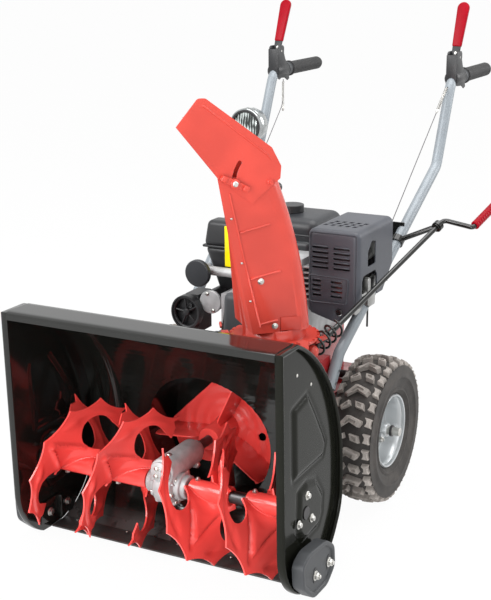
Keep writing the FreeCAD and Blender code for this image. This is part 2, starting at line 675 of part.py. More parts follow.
def channel(shrink, open_reach):
    """The chute's leaning channel before it is turned: back towards +x, mouth towards -x, centred on the ring."""
    base = channel_base + shrink
    back_low, back_mid, back_high = (64 - shrink, base), (41 - shrink, 612 + lift / 2), (-9 - shrink, chute_top)
    half = chute_radius - 3 - shrink
    mouth_low, mouth_high = (-65 - open_reach, base), (-135 - open_reach, chute_top)
    solid = slab("XZ", -half, half, mouth_low, back_low, (back_mid, back_high), mouth_high)
    backs = [edge for edge in solid.Edges if edge.Curve.TypeId != "Part::GeomLine"]
    return solid.makeFillet(36 - shrink, backs)


chute_wall = number("chute_wall")
collar = Part.makeCylinder(chute_radius, channel_base + chute_wall / 2 - flange_height, Vector(0, 0, flange_height))
flange = Part.makeCylinder(flange_radius, flange_wall, Vector(0, 0, flange_height))
notches = []
for k in range(30):
    notch = Part.makeBox(8, 7, 20, Vector(flange_radius - 6, -3.5, flange_height - 5))
    notch.rotate(Vector(), Vector(0, 0, 1), 12 * k)
    notches.append(notch)
chute = channel(0, 0).cut(channel(chute_wall, 20))
chute = chute.multiFuse([collar, flange]).cut(
    Part.makeCylinder(chute_radius - chute_wall, 60, Vector(0, 0, flange_height - 5)))
chute = chute.cut(channel(chute_wall, 20))
chute = chute.cut(Part.makeCompound(notches))

# the deflector's hood, its pivot near the chute's back and the arc slot for the wing knob
pivot_s, pivot_z = -30, chute_top - 12
knob_s, knob_z = -103, chute_top - 10
hood_half = number("chute_radius") - 3 + number("deflector_gap")
hood_wall = number("deflector_wall")


def hood(shrink, open_reach):
    half = hood_half + hood_wall - shrink
    corners = [(-215 - open_reach, 102 - open_reach * 0.6), (-172 - open_reach, 154 + open_reach * 0.6 - shrink),
               (-157, 154 - shrink), (-26 - shrink * 0.6, 55 - shrink * 0.7), (-7 - shrink, 18),
               (-9 - shrink, -6 - open_reach), (-66, -52 - open_reach * 2), (-132, -3 - open_reach * 2)]
    points = [(s, chute_top + rise) for s, rise in corners]
    solid = slab("XZ", -half, half, *points)
    rim = [edge for edge in solid.Edges if edge_along(edge, Vector(0, 1, 0)) and edge.CenterOfMass.x > -190
           and edge.CenterOfMass.z > chute_top + 16]
    return solid.makeFillet(9 - shrink, rim)


below_back = Part.makeBox(90, 2 * hood_half, 60, Vector(-60, -hood_half, chute_top - 54))
hood_shell = hood(0, 0).cut(hood(hood_wall, 30)).cut(below_back)
knob_radius = math.hypot(knob_s - pivot_s, knob_z - pivot_z)
knob_angle = math.degrees(math.atan2(knob_z - pivot_z, knob_s - pivot_s))


def turned(shape):
    """A shape made round the chute's own axis, placed on the machine and turned to its rest direction."""
    shape.rotate(Vector(), Vector(0, 0, 1), number("chute_rest_turn"))
    shape.translate(centre)
    return shape


def side_pin(radius, low, high, place):
    return Part.makeCylinder(radius, high - low, Vector(place[0], low, place[1]), Vector(0, 1, 0))


knob_place = (knob_s, knob_z)
pin_radius = 4
channel_half = chute_radius - 3
chute_holes = [side_pin(pin_radius + 0.1, -80, 80, knob_place)]
pivot_pins = [side_pin(pin_radius, sign * (channel_half + 4) - 8, sign * (channel_half + 4) + 8,
                       (pivot_s, pivot_z)) for sign in (-1, 1)]
rivet_out = hood_half + hood_wall + 0.3
rivet_heads = [Part.makeCylinder(7, 2, Vector(pivot_s, low, pivot_z), Vector(0, 1, 0))
               for low in (-rivet_out - 2, rivet_out)]
chute = chute.cut(chute_holes[0]).multiFuse(pivot_pins + rivet_heads)
keep("chute", feature("chute_blank", turned(chute)))

slot_sweep = 32
slot_tools = []
for k in range(17):
    angle = math.radians(knob_angle - slot_sweep * k / 16)
    place = (pivot_s + knob_radius * math.cos(angle), pivot_z + knob_radius * math.sin(angle))
    slot_tools.append(side_pin(pin_radius + 0.6, -80, 80, place))
hood_shell = hood_shell.cut(slot_tools[0].multiFuse(slot_tools[1:]))
hood_shell = hood_shell.cut(side_pin(pin_radius + 0.06, -80, 80, (pivot_s, pivot_z)))
keep("deflector", feature("deflector_blank", turned(hood_shell)))

# the wing knob screws on a bolt through the near wall
outside = -(hood_half + hood_wall + 0.5)
wing = slab("XZ", outside - 12, outside - 4, (knob_place[0] - 30, knob_place[1] + 9),
            ((knob_place[0] - 34, knob_place[1] + 16), (knob_place[0] - 24, knob_place[1] + 19)),
            (knob_place[0] + 28, knob_place[1] - 8),
            ((knob_place[0] + 33, knob_place[1] - 17), (knob_place[0] + 22, knob_place[1] - 20)))
knob_base = side_pin(11, outside - 14, outside, knob_place)
knob_bolt = side_pin(pin_radius, outside - 16, -channel_half + 8, knob_place)
knob_nut = hexagon((knob_place[0], -channel_half + chute_wall + 1, knob_place[1]), (0, 1, 0), 10, 4)
keep("deflector_knob", feature("knob_blank", turned(wing.multiFuse([knob_base, knob_bolt, knob_nut]))))

# ---- frame, belts and drive --------------------
frame_shell = cut(
    "frame_shell",
    box("frame_outside", ("-frame_half", "frame_half"), ("frame_front_y", "frame_rear_y"),
        ("frame_bottom", "frame_top")),
    box("frame_inside", ("-frame_half + sheet_wall", "frame_half - sheet_wall"),
        ("frame_front_y + sheet_wall", "frame_rear_y - sheet_wall"), ("frame_bottom - 5", "frame_top - sheet_wall")),
    box("belt_opening", ("-cover_half + 8", "cover_half - 8"), ("cover_y + 8", "cover_y + cover_deep - 8"),
        ("frame_top - 10", "frame_top + 10")),
)
bulkhead = box("bulkhead", ("-frame_half + sheet_wall", "frame_half - sheet_wall"),
               ("bulkhead_y", "bulkhead_y + sheet_wall"), ("frame_bottom", "frame_top - sheet_wall"))
frame_half, frame_top = number("frame_half"), number("frame_top")
axle_y, wheel_radius, axle_radius = number("axle_y"), number("wheel_radius"), number("axle_radius")
hex_y, traction_height = number("hex_y"), number("traction_height")
tube_radius, foot_x = number("tube_radius"), number("foot_x")
handle_points = [
    (foot_x, front_y + 455, frame_top - 65), (foot_x, front_y + 505, frame_top + 2),
    (number("handle_x"), number("elbow_y"), number("elbow_height")),
    (number("handle_x"), number("elbow_y") + 91, number("grip_height")),
    (number("handle_x"), number("grip_y") - 8, number("grip_height")),
]
foot, first_bend = Vector(*handle_points[0]), Vector(*handle_points[1])
foot_bolts = [foot + (first_bend - foot) * share for share in (0.16, 0.5)]
frame_drills = [rod_between((-250, point.y, point.z), (250, point.y, point.z), 4.1) for point in foot_bolts]
frame_holes = joined(
    "frame_holes",
    cylinder("axle_hole", "x", "axle_radius + running_gap", ("axle_y", "wheel_radius"), ("-250", "250")),
    cylinder("hex_hole", "x", "hex_radius + running_gap", ("hex_y", "traction_height"),
             ("-frame_half - 1", "frame_half + 1")),
    cylinder("boss_hole", "y", "24 + seat_gap", ("0", "fan_height"),
             ("frame_front_y - 1", "frame_front_y + sheet_wall + 1")),
    cylinder("disc_hole", "y", "disc_shaft_radius + running_gap", ("0", "traction_height"),
             ("bulkhead_y - 1", "bulkhead_y + sheet_wall + 1")),
    feature("foot_drills", Part.makeCompound(frame_drills)),
)
keep("frame_box", cut("frame_cut", joined("frame_and_bulkhead", frame_shell, bulkhead), frame_holes))

keep("friction_wheel", joined(
    "friction_wheel_blank",
    cylinder("friction_ring", "x", "friction_radius", ("hex_y", "traction_height"), ("-43", "-27")),
    cylinder("hex_shaft", "x", "hex_radius", ("hex_y", "traction_height"), ("-frame_half - 3", "frame_half + 3")),
))


def grooved(radius, low, length, bore):
    """A vee pulley along y, its groove half as deep as the belt is thick."""
    groove = number("belt_wall") * 0.6
    half = length / 2
    outline_points = [(bore, 0), (radius + 3, 0), (radius + 3, 1.5), (radius - groove, half - 4),
                      (radius - groove, half + 4), (radius + 3, length - 1.5), (radius + 3, length), (bore, length)]
    face = Part.Face(Part.makePolygon([Vector(r, low + y, 0) for r, y in outline_points + outline_points[:1]]))
    return face.revolve(Vector(), Vector(0, 1, 0), 360)


pulley_y, traction_y, pulley_wide = number("pulley_y"), number("traction_y"), number("pulley_wide")
engine_pulley_radius, crank_height = number("engine_pulley_radius"), number("crank_height")
impeller_pulley_radius = number("impeller_pulley_radius")
impeller_pulley = grooved(impeller_pulley_radius, pulley_y, pulley_wide, number("impeller_shaft_radius") + 0.02)
impeller_pulley.translate(Vector(0, 0, fan_height))
keep("impeller_pulley", feature("impeller_pulley_blank", impeller_pulley))

traction_pulley = grooved(number("traction_pulley_radius"), traction_y, pulley_wide, 5)
traction_pulley.translate(Vector(0, 0, traction_height))
keep("friction_disc", joined(
    "friction_disc_blank",
    cylinder("disc_plate", "y", "disc_radius", ("0", "traction_height"), ("disc_y", "disc_y + disc_wall")),
    cylinder("disc_shaft", "y", "disc_shaft_radius", ("0", "traction_height"), ("traction_y - 6", "disc_y")),
    feature("traction_pulley", traction_pulley),
))

crank_radius = number("crank_radius")
engine_pulleys = [grooved(engine_pulley_radius, level, pulley_wide, 5) for level in (pulley_y, traction_y)]
crank_end = number("block_y")
crank = Part.makeCylinder(crank_radius, crank_end + 40 - pulley_y + 6, Vector(0, pulley_y - 6, 0), Vector(0, 1, 0))
engine_pulley = crank.multiFuse(engine_pulleys)
engine_pulley.translate(Vector(0, 0, crank_height))
keep("engine_pulley", feature("engine_pulley_blank", engine_pulley))


def belt(low_radius, low_height, pulley_start):
    """A narrow vee belt in the grooves of the engine pulley and the pulley below it."""
    sunk, belt_half = 0.6 * number("belt_wall") - number("seat_gap"), 3.7
    upper, lower = engine_pulley_radius - sunk, low_radius - sunk
    start = pulley_start + pulley_wide / 2 - belt_half
    lean = math.asin((lower - upper) / (crank_height - low_height))

    def loop(grow):
        a, b = upper + grow, lower + grow
        side_x, side_z = math.cos(lean), math.sin(lean)
        return Part.Face(wire(
            "XZ", start, (a * side_x, crank_height + a * side_z),
            ((0, crank_height + a), (-a * side_x, crank_height + a * side_z)),
            (-b * side_x, low_height + b * side_z),
            ((0, low_height - b), (b * side_x, low_height + b * side_z)),
        )).extrude(Vector(0, 2 * belt_half, 0))
    return loop(number("belt_wall")).cut(loop(0))


belts = [belt(impeller_pulley_radius, fan_height, pulley_y),
         belt(number("traction_pulley_radius"), traction_height, traction_y)]
keep("drive_belts", feature("belt_pair", Part.makeCompound(belts)))

# the cover over the belts is stepped in on the right, beside the turning chute
cover_y = number("cover_y")
cover_half, cover_deep, cover_top = number("cover_half"), number("cover_deep"), number("cover_top")


def cover(shrink, floor):
    low, right, step_z = frame_top - floor, 54 - shrink, frame_top + 72 - shrink
    left, top = -cover_half + shrink, cover_top - shrink
    solid = slab("XZ", cover_y + shrink, cover_y + cover_deep - shrink, (left, low), (cover_half - shrink, low),
                 (cover_half - shrink, step_z), (right, step_z), (right, top - 46),
                 ((right - 13.5, top - 13.5), (right - 46, top)), (left + 46, top),
                 ((left + 13.5, top - 13.5), (left, top - 46)))
    return solid


cover_blank = feature("cover_blank", cover(0, 0).cut(cover(3, 5)))
keep("belt_cover", cut("cover_cut", cover_blank,
                       cylinder("cover_bore", "y", "crank_radius + 3", ("0", "crank_height"),
                                ("cover_y + 40", "cover_y + cover_deep + 5"))))

# ---- axle and wheels --------------------
keep("axle", cylinder("axle_rod", "x", "axle_radius", ("axle_y", "wheel_radius"),
                      ("-(tyre_centre + 60)", "tyre_centre + 60")))
tyre_centre, tyre_wide, rim_radius = number("tyre_centre"), number("tyre_wide"), number("rim_radius")
lug_height = number("lug_height")


def spun(points):
    """A ring about the axle from its half-section: distance along the axle, then radius."""
    loop = [Vector(x, axle_y, wheel_radius + r) for x, r in points]
    face = Part.Face(Part.makePolygon(loop + loop[:1]))
    return face.revolve(Vector(0, axle_y, wheel_radius), Vector(1, 0, 0), 360)


half_tyre = tyre_wide / 2
tread = wheel_radius - lug_height
right_side = [(8, tread), (24, tread - 3), (35, tread - 12), (43, tread - 28), (half_tyre - 2, 118),
              (half_tyre - 3, 104), (42, 92), (38, rim_radius + 7.5), (35.5, rim_radius + 0.3)]
inside = [(30, rim_radius + 0.3), (35, 92), (half_tyre - 10, 105), (half_tyre - 9, 118), (36, tread - 30),
          (28, tread - 18), (8, tread - 10)]
section = [(-x, r) for x, r in reversed(right_side)] + right_side + inside + [(-x, r) for x, r in reversed(inside)]
carcass = spun([(tyre_centre + x, r) for x, r in section])
envelope = spun([(tyre_centre + x, r) for x, r in (
    (-38, tread - 22), (-38, tread - 6), (-30, wheel_radius - 5), (-20, wheel_radius), (20, wheel_radius),
    (30, wheel_radius - 5), (38, tread - 6), (38, tread - 22))])
lugs = []
lug_count = int(number("lug_count"))
for k in range(lug_count):
    for side in (-1, 1):
        arm = Part.makeBox(44, 17, 40)
        arm.translate(Vector(-4, -8.5, tread - 22))
        arm.rotate(Vector(), Vector(0, 0, 1), 32)
        if side < 0:
            arm = arm.mirror(Vector(), Vector(1, 0, 0))
        arm.translate(Vector(tyre_centre, 0, 0))
        arm.rotate(Vector(), Vector(1, 0, 0), 360 / lug_count * (k + (0.5 if side < 0 else 0)))
        arm.translate(Vector(0, axle_y, wheel_radius))
        lugs.append(arm)
lugs = Part.makeCompound(lugs).common(envelope)
tyre = carcass.multiFuse(lugs.Solids)
keep("tyre_right", feature("tyre_blank", tyre))
keep("tyre_left", feature("tyre_blank_left", mirrored(tyre)))

rim_low, rim_high = tyre_centre - 42, tyre_centre + 42
rim_section = [
    (rim_low, rim_radius + 6), (rim_low + 3, rim_radius + 6), (rim_low + 6, rim_radius), (rim_high - 6, rim_radius),
    (rim_high - 3, rim_radius + 6), (rim_high, rim_radius + 6), (rim_high - 2, rim_radius - 3),
    (tyre_centre + 22, rim_radius - 3), (tyre_centre + 14, rim_radius - 14), (tyre_centre + 20, 40),
    (tyre_centre + 20, 16), (rim_high - 4, 16), (rim_high - 4, axle_radius), (rim_low - 2, axle_radius),
    (rim_low - 2, 16), (tyre_centre + 17, 16), (tyre_centre + 17, 40), (tyre_centre + 10, rim_radius - 14),
    (tyre_centre + 18, rim_radius - 3), (rim_low + 2, rim_radius - 3),
]
rim = spun(rim_section)
keep("rim_right", feature("rim_blank", rim))
keep("rim_left", feature("rim_blank_left", mirrored(rim)))

# ---- handles --------------------
tube_path = run(handle_points[:3] + handle_points[3:], 45)
tube_full = swept(tube_path, tube_radius)
tube_hollow = swept(tube_path, tube_radius - number("tube_wall"))
tube_drills = Part.makeCompound([drill.copy() for drill in frame_drills])
tube = tube_full.cut(tube_hollow).cut(tube_drills)
tube_clear = swept(tube_path, tube_radius + gap)
keep("handle_right", feature("tube_blank", tube))
keep("handle_left", feature("tube_blank_left", mirrored(tube)))
for sign in (-1, 1):
    for point in foot_bolts:
        start = frame_half - wall - 5
        shank = on_side(sign, point.y, point.z, 4, start, foot_x + tube_radius + 8)
        washer = on_side(sign, point.y, point.z, 10, foot_x + tube_radius, foot_x + tube_radius + 2)
        head = hexagon((sign * (foot_x + tube_radius + 2), point.y, point.z), (sign, 0, 0), 13, 5)
        inner_nut = hexagon((sign * (frame_half - wall), point.y, point.z), (-sign, 0, 0), 13, 6)
        fasteners.append(shank.multiFuse([washer, head, inner_nut]))



def on_tube(y):
    """The middle of the right handle tube's long slope at a y."""
    share = (y - handle_points[1][1]) / (handle_points[2][1] - handle_points[1][1])
    return Vector(*handle_points[1]) + (Vector(*handle_points[2]) - Vector(*handle_points[1])) * share


handle_x, grip_y, grip_height = number("handle_x"), number("grip_y"), number("grip_height")
grip_length, pivot_y, pivot_z_lever = number("grip_length"), number("pivot_y"), number("lever_pivot_height")
grip = Part.makeCylinder(17, grip_length, Vector(handle_x, grip_y - grip_length, grip_height), Vector(0, 1, 0))
grip = grip.makeFillet(5, [edge for edge in grip.Edges if edge.Length > 90])
collar_ring = Part.makeCylinder(20, 12, Vector(handle_x, grip_y - grip_length, grip_height), Vector(0, 1, 0))
grip = grip.fuse(collar_ring).cut(tube_clear)
grip = max(grip.Solids, key=lambda solid: solid.Volume)
keep("grips", feature("grip_pair", Part.makeCompound([grip, mirrored(grip)])))

lever_width = number("lever_width")
bracket_low, bracket_high = grip_height - 18, pivot_z_lever + 15
bracket = Part.makeBox(28, 56, bracket_high - bracket_low, Vector(handle_x - 14, pivot_y - 22, bracket_low))
bracket = bracket.makeFillet(7, [edge for edge in bracket.Edges if edge_along(edge, Vector(1, 0, 0))])
slot_half = lever_width / 2 + 0.4
slot = Part.makeBox(2 * slot_half, 80, 80,
                    Vector(handle_x - slot_half, pivot_y - 40, grip_height + tube_radius + 8))
pin_bore = Part.makeCylinder(3 + gap, 60, Vector(handle_x - 30, pivot_y, pivot_z_lever), Vector(1, 0, 0))
step = Part.makeBox(60, 60, 60, Vector(handle_x - 30, pivot_y + 16, pivot_z_lever - 8))
bracket = bracket.cut(tube_clear).cut(tube_hollow).cut(slot).cut(pin_bore).cut(step)
bracket = max(bracket.Solids, key=lambda solid: solid.Volume)
keep("lever_brackets", feature("bracket_pair", Part.makeCompound([bracket, mirrored(bracket)])))

lever_length, sleeve_width, sleeve_start = number("lever_length"), number("sleeve_width"), number("sleeve_start")
strip = Part.makeBox(lever_width - 4, 5, lever_length, Vector(-(lever_width - 4) / 2, -2.5, -6))
sleeve_length = lever_length - 4 - sleeve_start
sleeve = Part.makeBox(sleeve_width, 9, sleeve_length, Vector(-sleeve_width / 2, -4.5, sleeve_start))
sleeve = sleeve.makeFillet(12, [edge for edge in sleeve.Edges if edge_along(edge, Vector(0, 1, 0))
                                and edge.CenterOfMass.z > sleeve_start + 9])
sleeve = sleeve.makeFillet(3, sleeve.Edges)
eye = Part.makeCylinder(8, lever_width, Vector(-lever_width / 2, 0, 0), Vector(1, 0, 0))
lever_pin = Part.makeCylinder(3, 28, Vector(-14, 0, 0), Vector(1, 0, 0))
lever = strip.multiFuse([sleeve, eye, lever_pin])
lever.rotate(Vector(), Vector(1, 0, 0), -24.5)
lever.translate(Vector(handle_x, pivot_y, pivot_z_lever))
keep("clutch_lever_right", feature("lever_blank", lever))
keep("clutch_lever_left", feature("lever_blank_left", mirrored(lever)))

cable_y, cable_z = pivot_y - 22, grip_height + 14
cable_routes = [
    [(handle_x, cable_y, cable_z), (handle_x, cable_y - 28, cable_z), (232, front_y + 900, 745),
     (226, front_y + 750, 600), (178, front_y + 710, 480), (178, front_y + 710, frame_top)],
    [(-handle_x, cable_y, cable_z), (-handle_x, cable_y - 28, cable_z), (-178, front_y + 900, 745),
     (-180, front_y + 750, 600), (-176, front_y + 710, 480), (-176, front_y + 710, frame_top)],
]
cables = []
for points in cable_routes:
    cable = swept(run(points, 24), 2.5)
    way = (Vector(*points[2]) - Vector(*points[1])).normalize()
    spring = rod_between(Vector(*points[1]) + way * 40, Vector(*points[1]) + way * 105, 5)
    cables.append(cable.fuse(spring))
keep("control_cables", feature("cable_pair", Part.makeCompound(cables)))

bar_y = front_y + 796
bar_seat = on_tube(bar_y)
bar_reach, bar_low = bar_seat.x + 6, bar_seat.z - 16.3
cross = Part.makeBox(2 * bar_reach, 4, 40, Vector(-bar_reach, bar_y, bar_low))
lever_pin_place = (-100, bar_low + 15)
shift_x, shift_z = lever_pin_place
shift_bore = Part.makeCylinder(4 + gap, 20, Vector(shift_x, bar_y - 5, shift_z), Vector(0, 1, 0))
for tool in (tube_clear, tube_hollow, mirrored(tube_clear), mirrored(tube_hollow), shift_bore):
    cross = cross.cut(tool)
cross = max(cross.Solids, key=lambda solid: solid.Volume)
keep("cross_bar", feature("cross_bar_blank", cross))
stick = Part.makeBox(14, 4, 86, Vector(-7, 0, -8))
stick = stick.makeFillet(5, [edge for edge in stick.Edges if edge_along(edge, Vector(0, 1, 0))])
stick.translate(Vector(lever_pin_place[0], bar_y + 4.3, lever_pin_place[1]))
stick_pin = Part.makeCylinder(4, 10, Vector(lever_pin_place[0], bar_y - 2, lever_pin_place[1]), Vector(0, 1, 0))
knob_ball = Part.makeSphere(13, Vector(lever_pin_place[0], bar_y + 6.3, lever_pin_place[1] + 80))
keep("shift_lever", feature("shift_blank", stick.multiFuse([stick_pin, knob_ball])))

# ---- headlamp --------------------
lamp_x, lamp_y, lamp_z, lamp_radius = -handle_x, front_y + 905, 765, number("lamp_radius")


def turned_on_y(points, x, z):
    loop = [Vector(x + r, y, z) for r, y in points]
    return Part.Face(Part.makePolygon(loop + loop[:1])).revolve(Vector(x, 0, z), Vector(0, 1, 0), 360)


bowl = turned_on_y([
    (lamp_radius - 7, lamp_y), (lamp_radius, lamp_y), (lamp_radius, lamp_y + 22), (lamp_radius - 4, lamp_y + 46),
    (lamp_radius - 16, lamp_y + 68), (8, lamp_y + 80), (0, lamp_y + 80), (0, lamp_y + 77), (8, lamp_y + 77),
    (lamp_radius - 18, lamp_y + 66), (lamp_radius - 7, lamp_y + 44), (lamp_radius - 3, lamp_y + 22),
    (lamp_radius - 3, lamp_y + 6), (lamp_radius - 7, lamp_y + 6),
], lamp_x, lamp_z)
tube_way = (Vector(*handle_points[2]) - Vector(*handle_points[1])).normalize()
tube_left = Vector(-tube_way.x, tube_way.y, tube_way.z)
lamp_seat = on_tube(lamp_y + 40)
lamp_seat.x = -lamp_seat.x
post = rod_between(lamp_seat, (lamp_x, lamp_y + 40, lamp_z - lamp_radius + 2), 7)
lamp_clamp = rod_between(lamp_seat - tube_left * 9, lamp_seat + tube_left * 9, tube_radius + 3)
lamp_shell = bowl.multiFuse([post, lamp_clamp]).cut(mirrored(tube_clear)).cut(mirrored(tube_hollow))
lamp_shell = max(lamp_shell.Solids, key=lambda solid: solid.Volume)
keep("headlamp_shell", feature("lamp_blank", lamp_shell))
lens = turned_on_y([(0, lamp_y + 1), (lamp_radius - 14, lamp_y + 2), (lamp_radius - 7.1, lamp_y + 4),
                    (lamp_radius - 7.1, lamp_y + 6), (lamp_radius - 3.1, lamp_y + 6), (lamp_radius - 3.1, lamp_y + 9),
                    (0, lamp_y + 7)], lamp_x, lamp_z)
keep("headlamp_lens", feature("lens_blank", lens))

# ---- chute crank --------------------
rod_radius, spiral_radius, spiral_wire = number("rod_radius"), number("spiral_radius"), number("spiral_wire")
crank_arm, grip_piece = number("crank_arm"), number("crank_grip_length")
eye_seat = on_tube(rod_eye.y)
eye_clamp = rod_between(eye_seat - tube_way * 8, eye_seat + tube_way * 8, tube_radius + 3.5)
eye_arm = rod_between(eye_seat, rod_eye, 6)
eye_ring = rod_between(rod_eye - rod_way * 6, rod_eye + rod_way * 6, 12)
eye_bore = rod_between(rod_eye - rod_way * 30, rod_eye + rod_way * 30, rod_radius + gap)
holder = eye_clamp.multiFuse([eye_arm, eye_ring]).cut(eye_bore).cut(tube_clear).cut(tube_hollow)
holder = max(holder.Solids, key=lambda solid: solid.Volume)
keep("crank_bracket", feature("holder_blank", holder))

arm_way = (Vector(1, 0, 0) - rod_way * rod_way.x).normalize()
rod_start, rod_top = rod_end - rod_way * 11, rod_eye + rod_way * 25
rod = rod_between(rod_start, rod_top, rod_radius)
elbow = Part.makeSphere(rod_radius, rod_top)
arm_end = rod_top + arm_way * crank_arm
arm = rod_between(rod_top, arm_end, rod_radius)
arm_elbow = Part.makeSphere(rod_radius, arm_end)
pin = rod_between(arm_end, arm_end + rod_way * (grip_piece + 14), number("crank_pin_radius"))
pin_head = rod_between(arm_end + rod_way * (grip_piece + 11), arm_end + rod_way * (grip_piece + 14), 7)
spiral_low, spiral_high = 12, 112
helix = Part.makeHelix((spiral_high - spiral_low) / 4, spiral_high - spiral_low, spiral_radius)
helix_start = Part.Wire(Part.Circle(Vector(spiral_radius, 0, 0), Vector(0, 1, 0), spiral_wire).toShape())
spiral = helix.makePipeShell([helix_start], True, True)
spokes = [rod_between((0, 0, level), (spiral_radius, 0, level), spiral_wire)
          for level in (0, spiral_high - spiral_low)]
spiral = spiral.multiFuse(spokes)
spiral.Placement = Placement(rod_end + rod_way * spiral_low, Rotation(Vector(0, 0, 1), rod_way))
keep("crank_rod", feature("crank_blank", rod.multiFuse([elbow, arm, arm_elbow, pin, pin_head, spiral])))
grip_tube = rod_between(arm_end + rod_way * 8, arm_end + rod_way * (8 + grip_piece), 10)
grip_tube = grip_tube.makeFillet(3, grip_tube.Edges[:1] + grip_tube.Edges[2:])
grip_bore = rod_between(arm_end, arm_end + rod_way * (grip_piece + 20), number("crank_pin_radius + running_gap"))
grip_tube = grip_tube.cut(grip_bore)
grip_tube = grip_tube.cut(rod_between(arm_end + rod_way * (grip_piece + 10.7), arm_end + rod_way * 200, 30))
keep("crank_grip", feature("crank_grip_blank", grip_tube))

# ---- engine --------------------
block_y, tank_top = number("block_y"), number("tank_top")
tank_low, engine_rear = tank_top - 67, block_y + 200
engine = [
    Part.makeBox(195, engine_rear - block_y, 100, Vector(-90, block_y, frame_top)),
    Part.makeBox(136, engine_rear - block_y - 20, tank_low - frame_top - 100,
                 Vector(-36, block_y + 20, frame_top + 100)),
    Part.makeCylinder(34, 12, Vector(0, block_y - 6, crank_height), Vector(0, 1, 0)),
]
for k in range(7):
    engine.append(Part.makeBox(20, 150, 3, Vector(98, block_y + 25, frame_top + 104 + 12 * k)))
filler_x, filler_z = -145, crank_height + 37
engine.append(rod_between((-30, block_y + 27, filler_z), (filler_x, block_y + 27, filler_z), 10.5))
engine.append(rod_between((filler_x, block_y + 37.5, filler_z), (filler_x, block_y + 0.5, filler_z), 14))
engine = engine[0].multiFuse(engine[1:])
engine = engine.cut(Part.makeCylinder(crank_radius + gap, 70, Vector(0, block_y - 20, crank_height),
                                      Vector(0, 1, 0)))
pipe_y, pipe_z = number("guard_y") + 90, tank_low - 17
engine = engine.cut(rod_between((100, pipe_y, pipe_z), (130, pipe_y, pipe_z), 13.05))
engine = engine.cut(rod_between((filler_x, block_y - 5, filler_z), (filler_x, block_y + 20, filler_z), 9.2))
keep("engine_block", feature("engine_blank", engine))
cap = rod_between((filler_x, block_y - 13, filler_z), (filler_x, block_y + 0.2, filler_z), 31)
cap = cap.makeFillet(3, [edge for edge in cap.Edges if edge.Length > 100])
cap = cap.fuse(rod_between((filler_x, block_y - 1, filler_z), (filler_x, block_y + 15, filler_z), 9))
keep("oil_cap", feature("cap_blank", cap))

tank = Part.makeBox(249, 160, 67, Vector(-130, block_y + 100, tank_low))
tank_inside = Part.makeBox(243, 154, 61, Vector(-127, block_y + 103, tank_low + 3))


def tank_round(solid, radius):
    top = solid.BoundBox.ZMax
    return solid.makeFillet(radius, [edge for edge in solid.Edges if edge_along(edge, Vector(0, 0, 1))
                                     or edge.CenterOfMass.z > top - 1])


tank, tank_inside = tank_round(tank, 18), tank_round(tank_inside, 15)
neck = rod_between((0, block_y + 180, tank_top - 2), (0, block_y + 180, tank_top + 8), 20)
tank = tank.fuse(neck).cut(tank_inside).cut(
    rod_between((0, block_y + 180, tank_top - 20), (0, block_y + 180, tank_top + 20), 17))
keep("fuel_tank", feature("tank_blank", tank))
fuel_lid = rod_between((0, block_y + 180, tank_top + 0.3), (0, block_y + 180, tank_top + 18), 27)
fuel_lid = fuel_lid.cut(rod_between((0, block_y + 180, tank_top), (0, block_y + 180, tank_top + 8.3), 20.3))
keep("fuel_cap", feature("lid_blank", fuel_lid))

guard_y = number("guard_y")
guard_outline = [(0, 425), (185, 520), (185, 607), (20, 607), (0, 587)]


def guard_solid(shrink, open_reach):
    y0, y1 = guard_y + shrink, guard_y + 185 - shrink
    lean = 95 / 185
    low = shrink * math.hypot(1, lean)
    points = [(y0, 425 + low + (y0 - guard_y) * lean), (y1, 425 + low + (y1 - guard_y) * lean), (y1, 607 - shrink),
              (y0 + 20, 607 - shrink), (y0, 587 - shrink)]
    return slab("YZ", 122 - open_reach, 230 - shrink, *points)


guard = guard_solid(0, 0).cut(guard_solid(3, 10))
slots = []
for row in range(5):
    for column in range(2):
        slots.append(Part.makeBox(36, 12, 7, Vector(133 + 46 * column, guard_y - 4, 503 + 15 * row)))
for k in range(12):
    slots.append(Part.makeBox(76, 7, 12, Vector(140, guard_y + 28 + 12 * k, 600)))
for k in range(6):
    slots.append(Part.makeBox(12, 14, 64, Vector(224, guard_y + 24 + 24 * k, 527)))
guard = guard.cut(Part.makeCompound(slots))
guard = guard.cut(Part.makeCylinder(4.3, 20, Vector(176, guard_y - 5, 470), Vector(0, 1, 0)))
keep("muffler_guard", feature("guard_blank", guard))
can = Part.makeBox(50, 130, 62, Vector(136, guard_y + 22, 522))
can = can.makeFillet(12, [edge for edge in can.Edges if edge_along(edge, Vector(0, 1, 0))])
pipe = rod_between((100, pipe_y, pipe_z), (140, pipe_y, pipe_z), 13)
stud_bracket = Part.makeBox(20, 4, 60, Vector(166, guard_y + 18, 462))
bolt_head = Part.makeCylinder(8, 3, Vector(176, guard_y - 3, 470), Vector(0, 1, 0))
stud_long = Part.makeCylinder(4, 24, Vector(176, guard_y - 2, 470), Vector(0, 1, 0))
tie = Part.makeBox(20, 8, 12, Vector(166, guard_y + 18, 520))
keep("muffler", feature("muffler_blank", can.multiFuse([pipe, stud_bracket, bolt_head, stud_long, tie])))

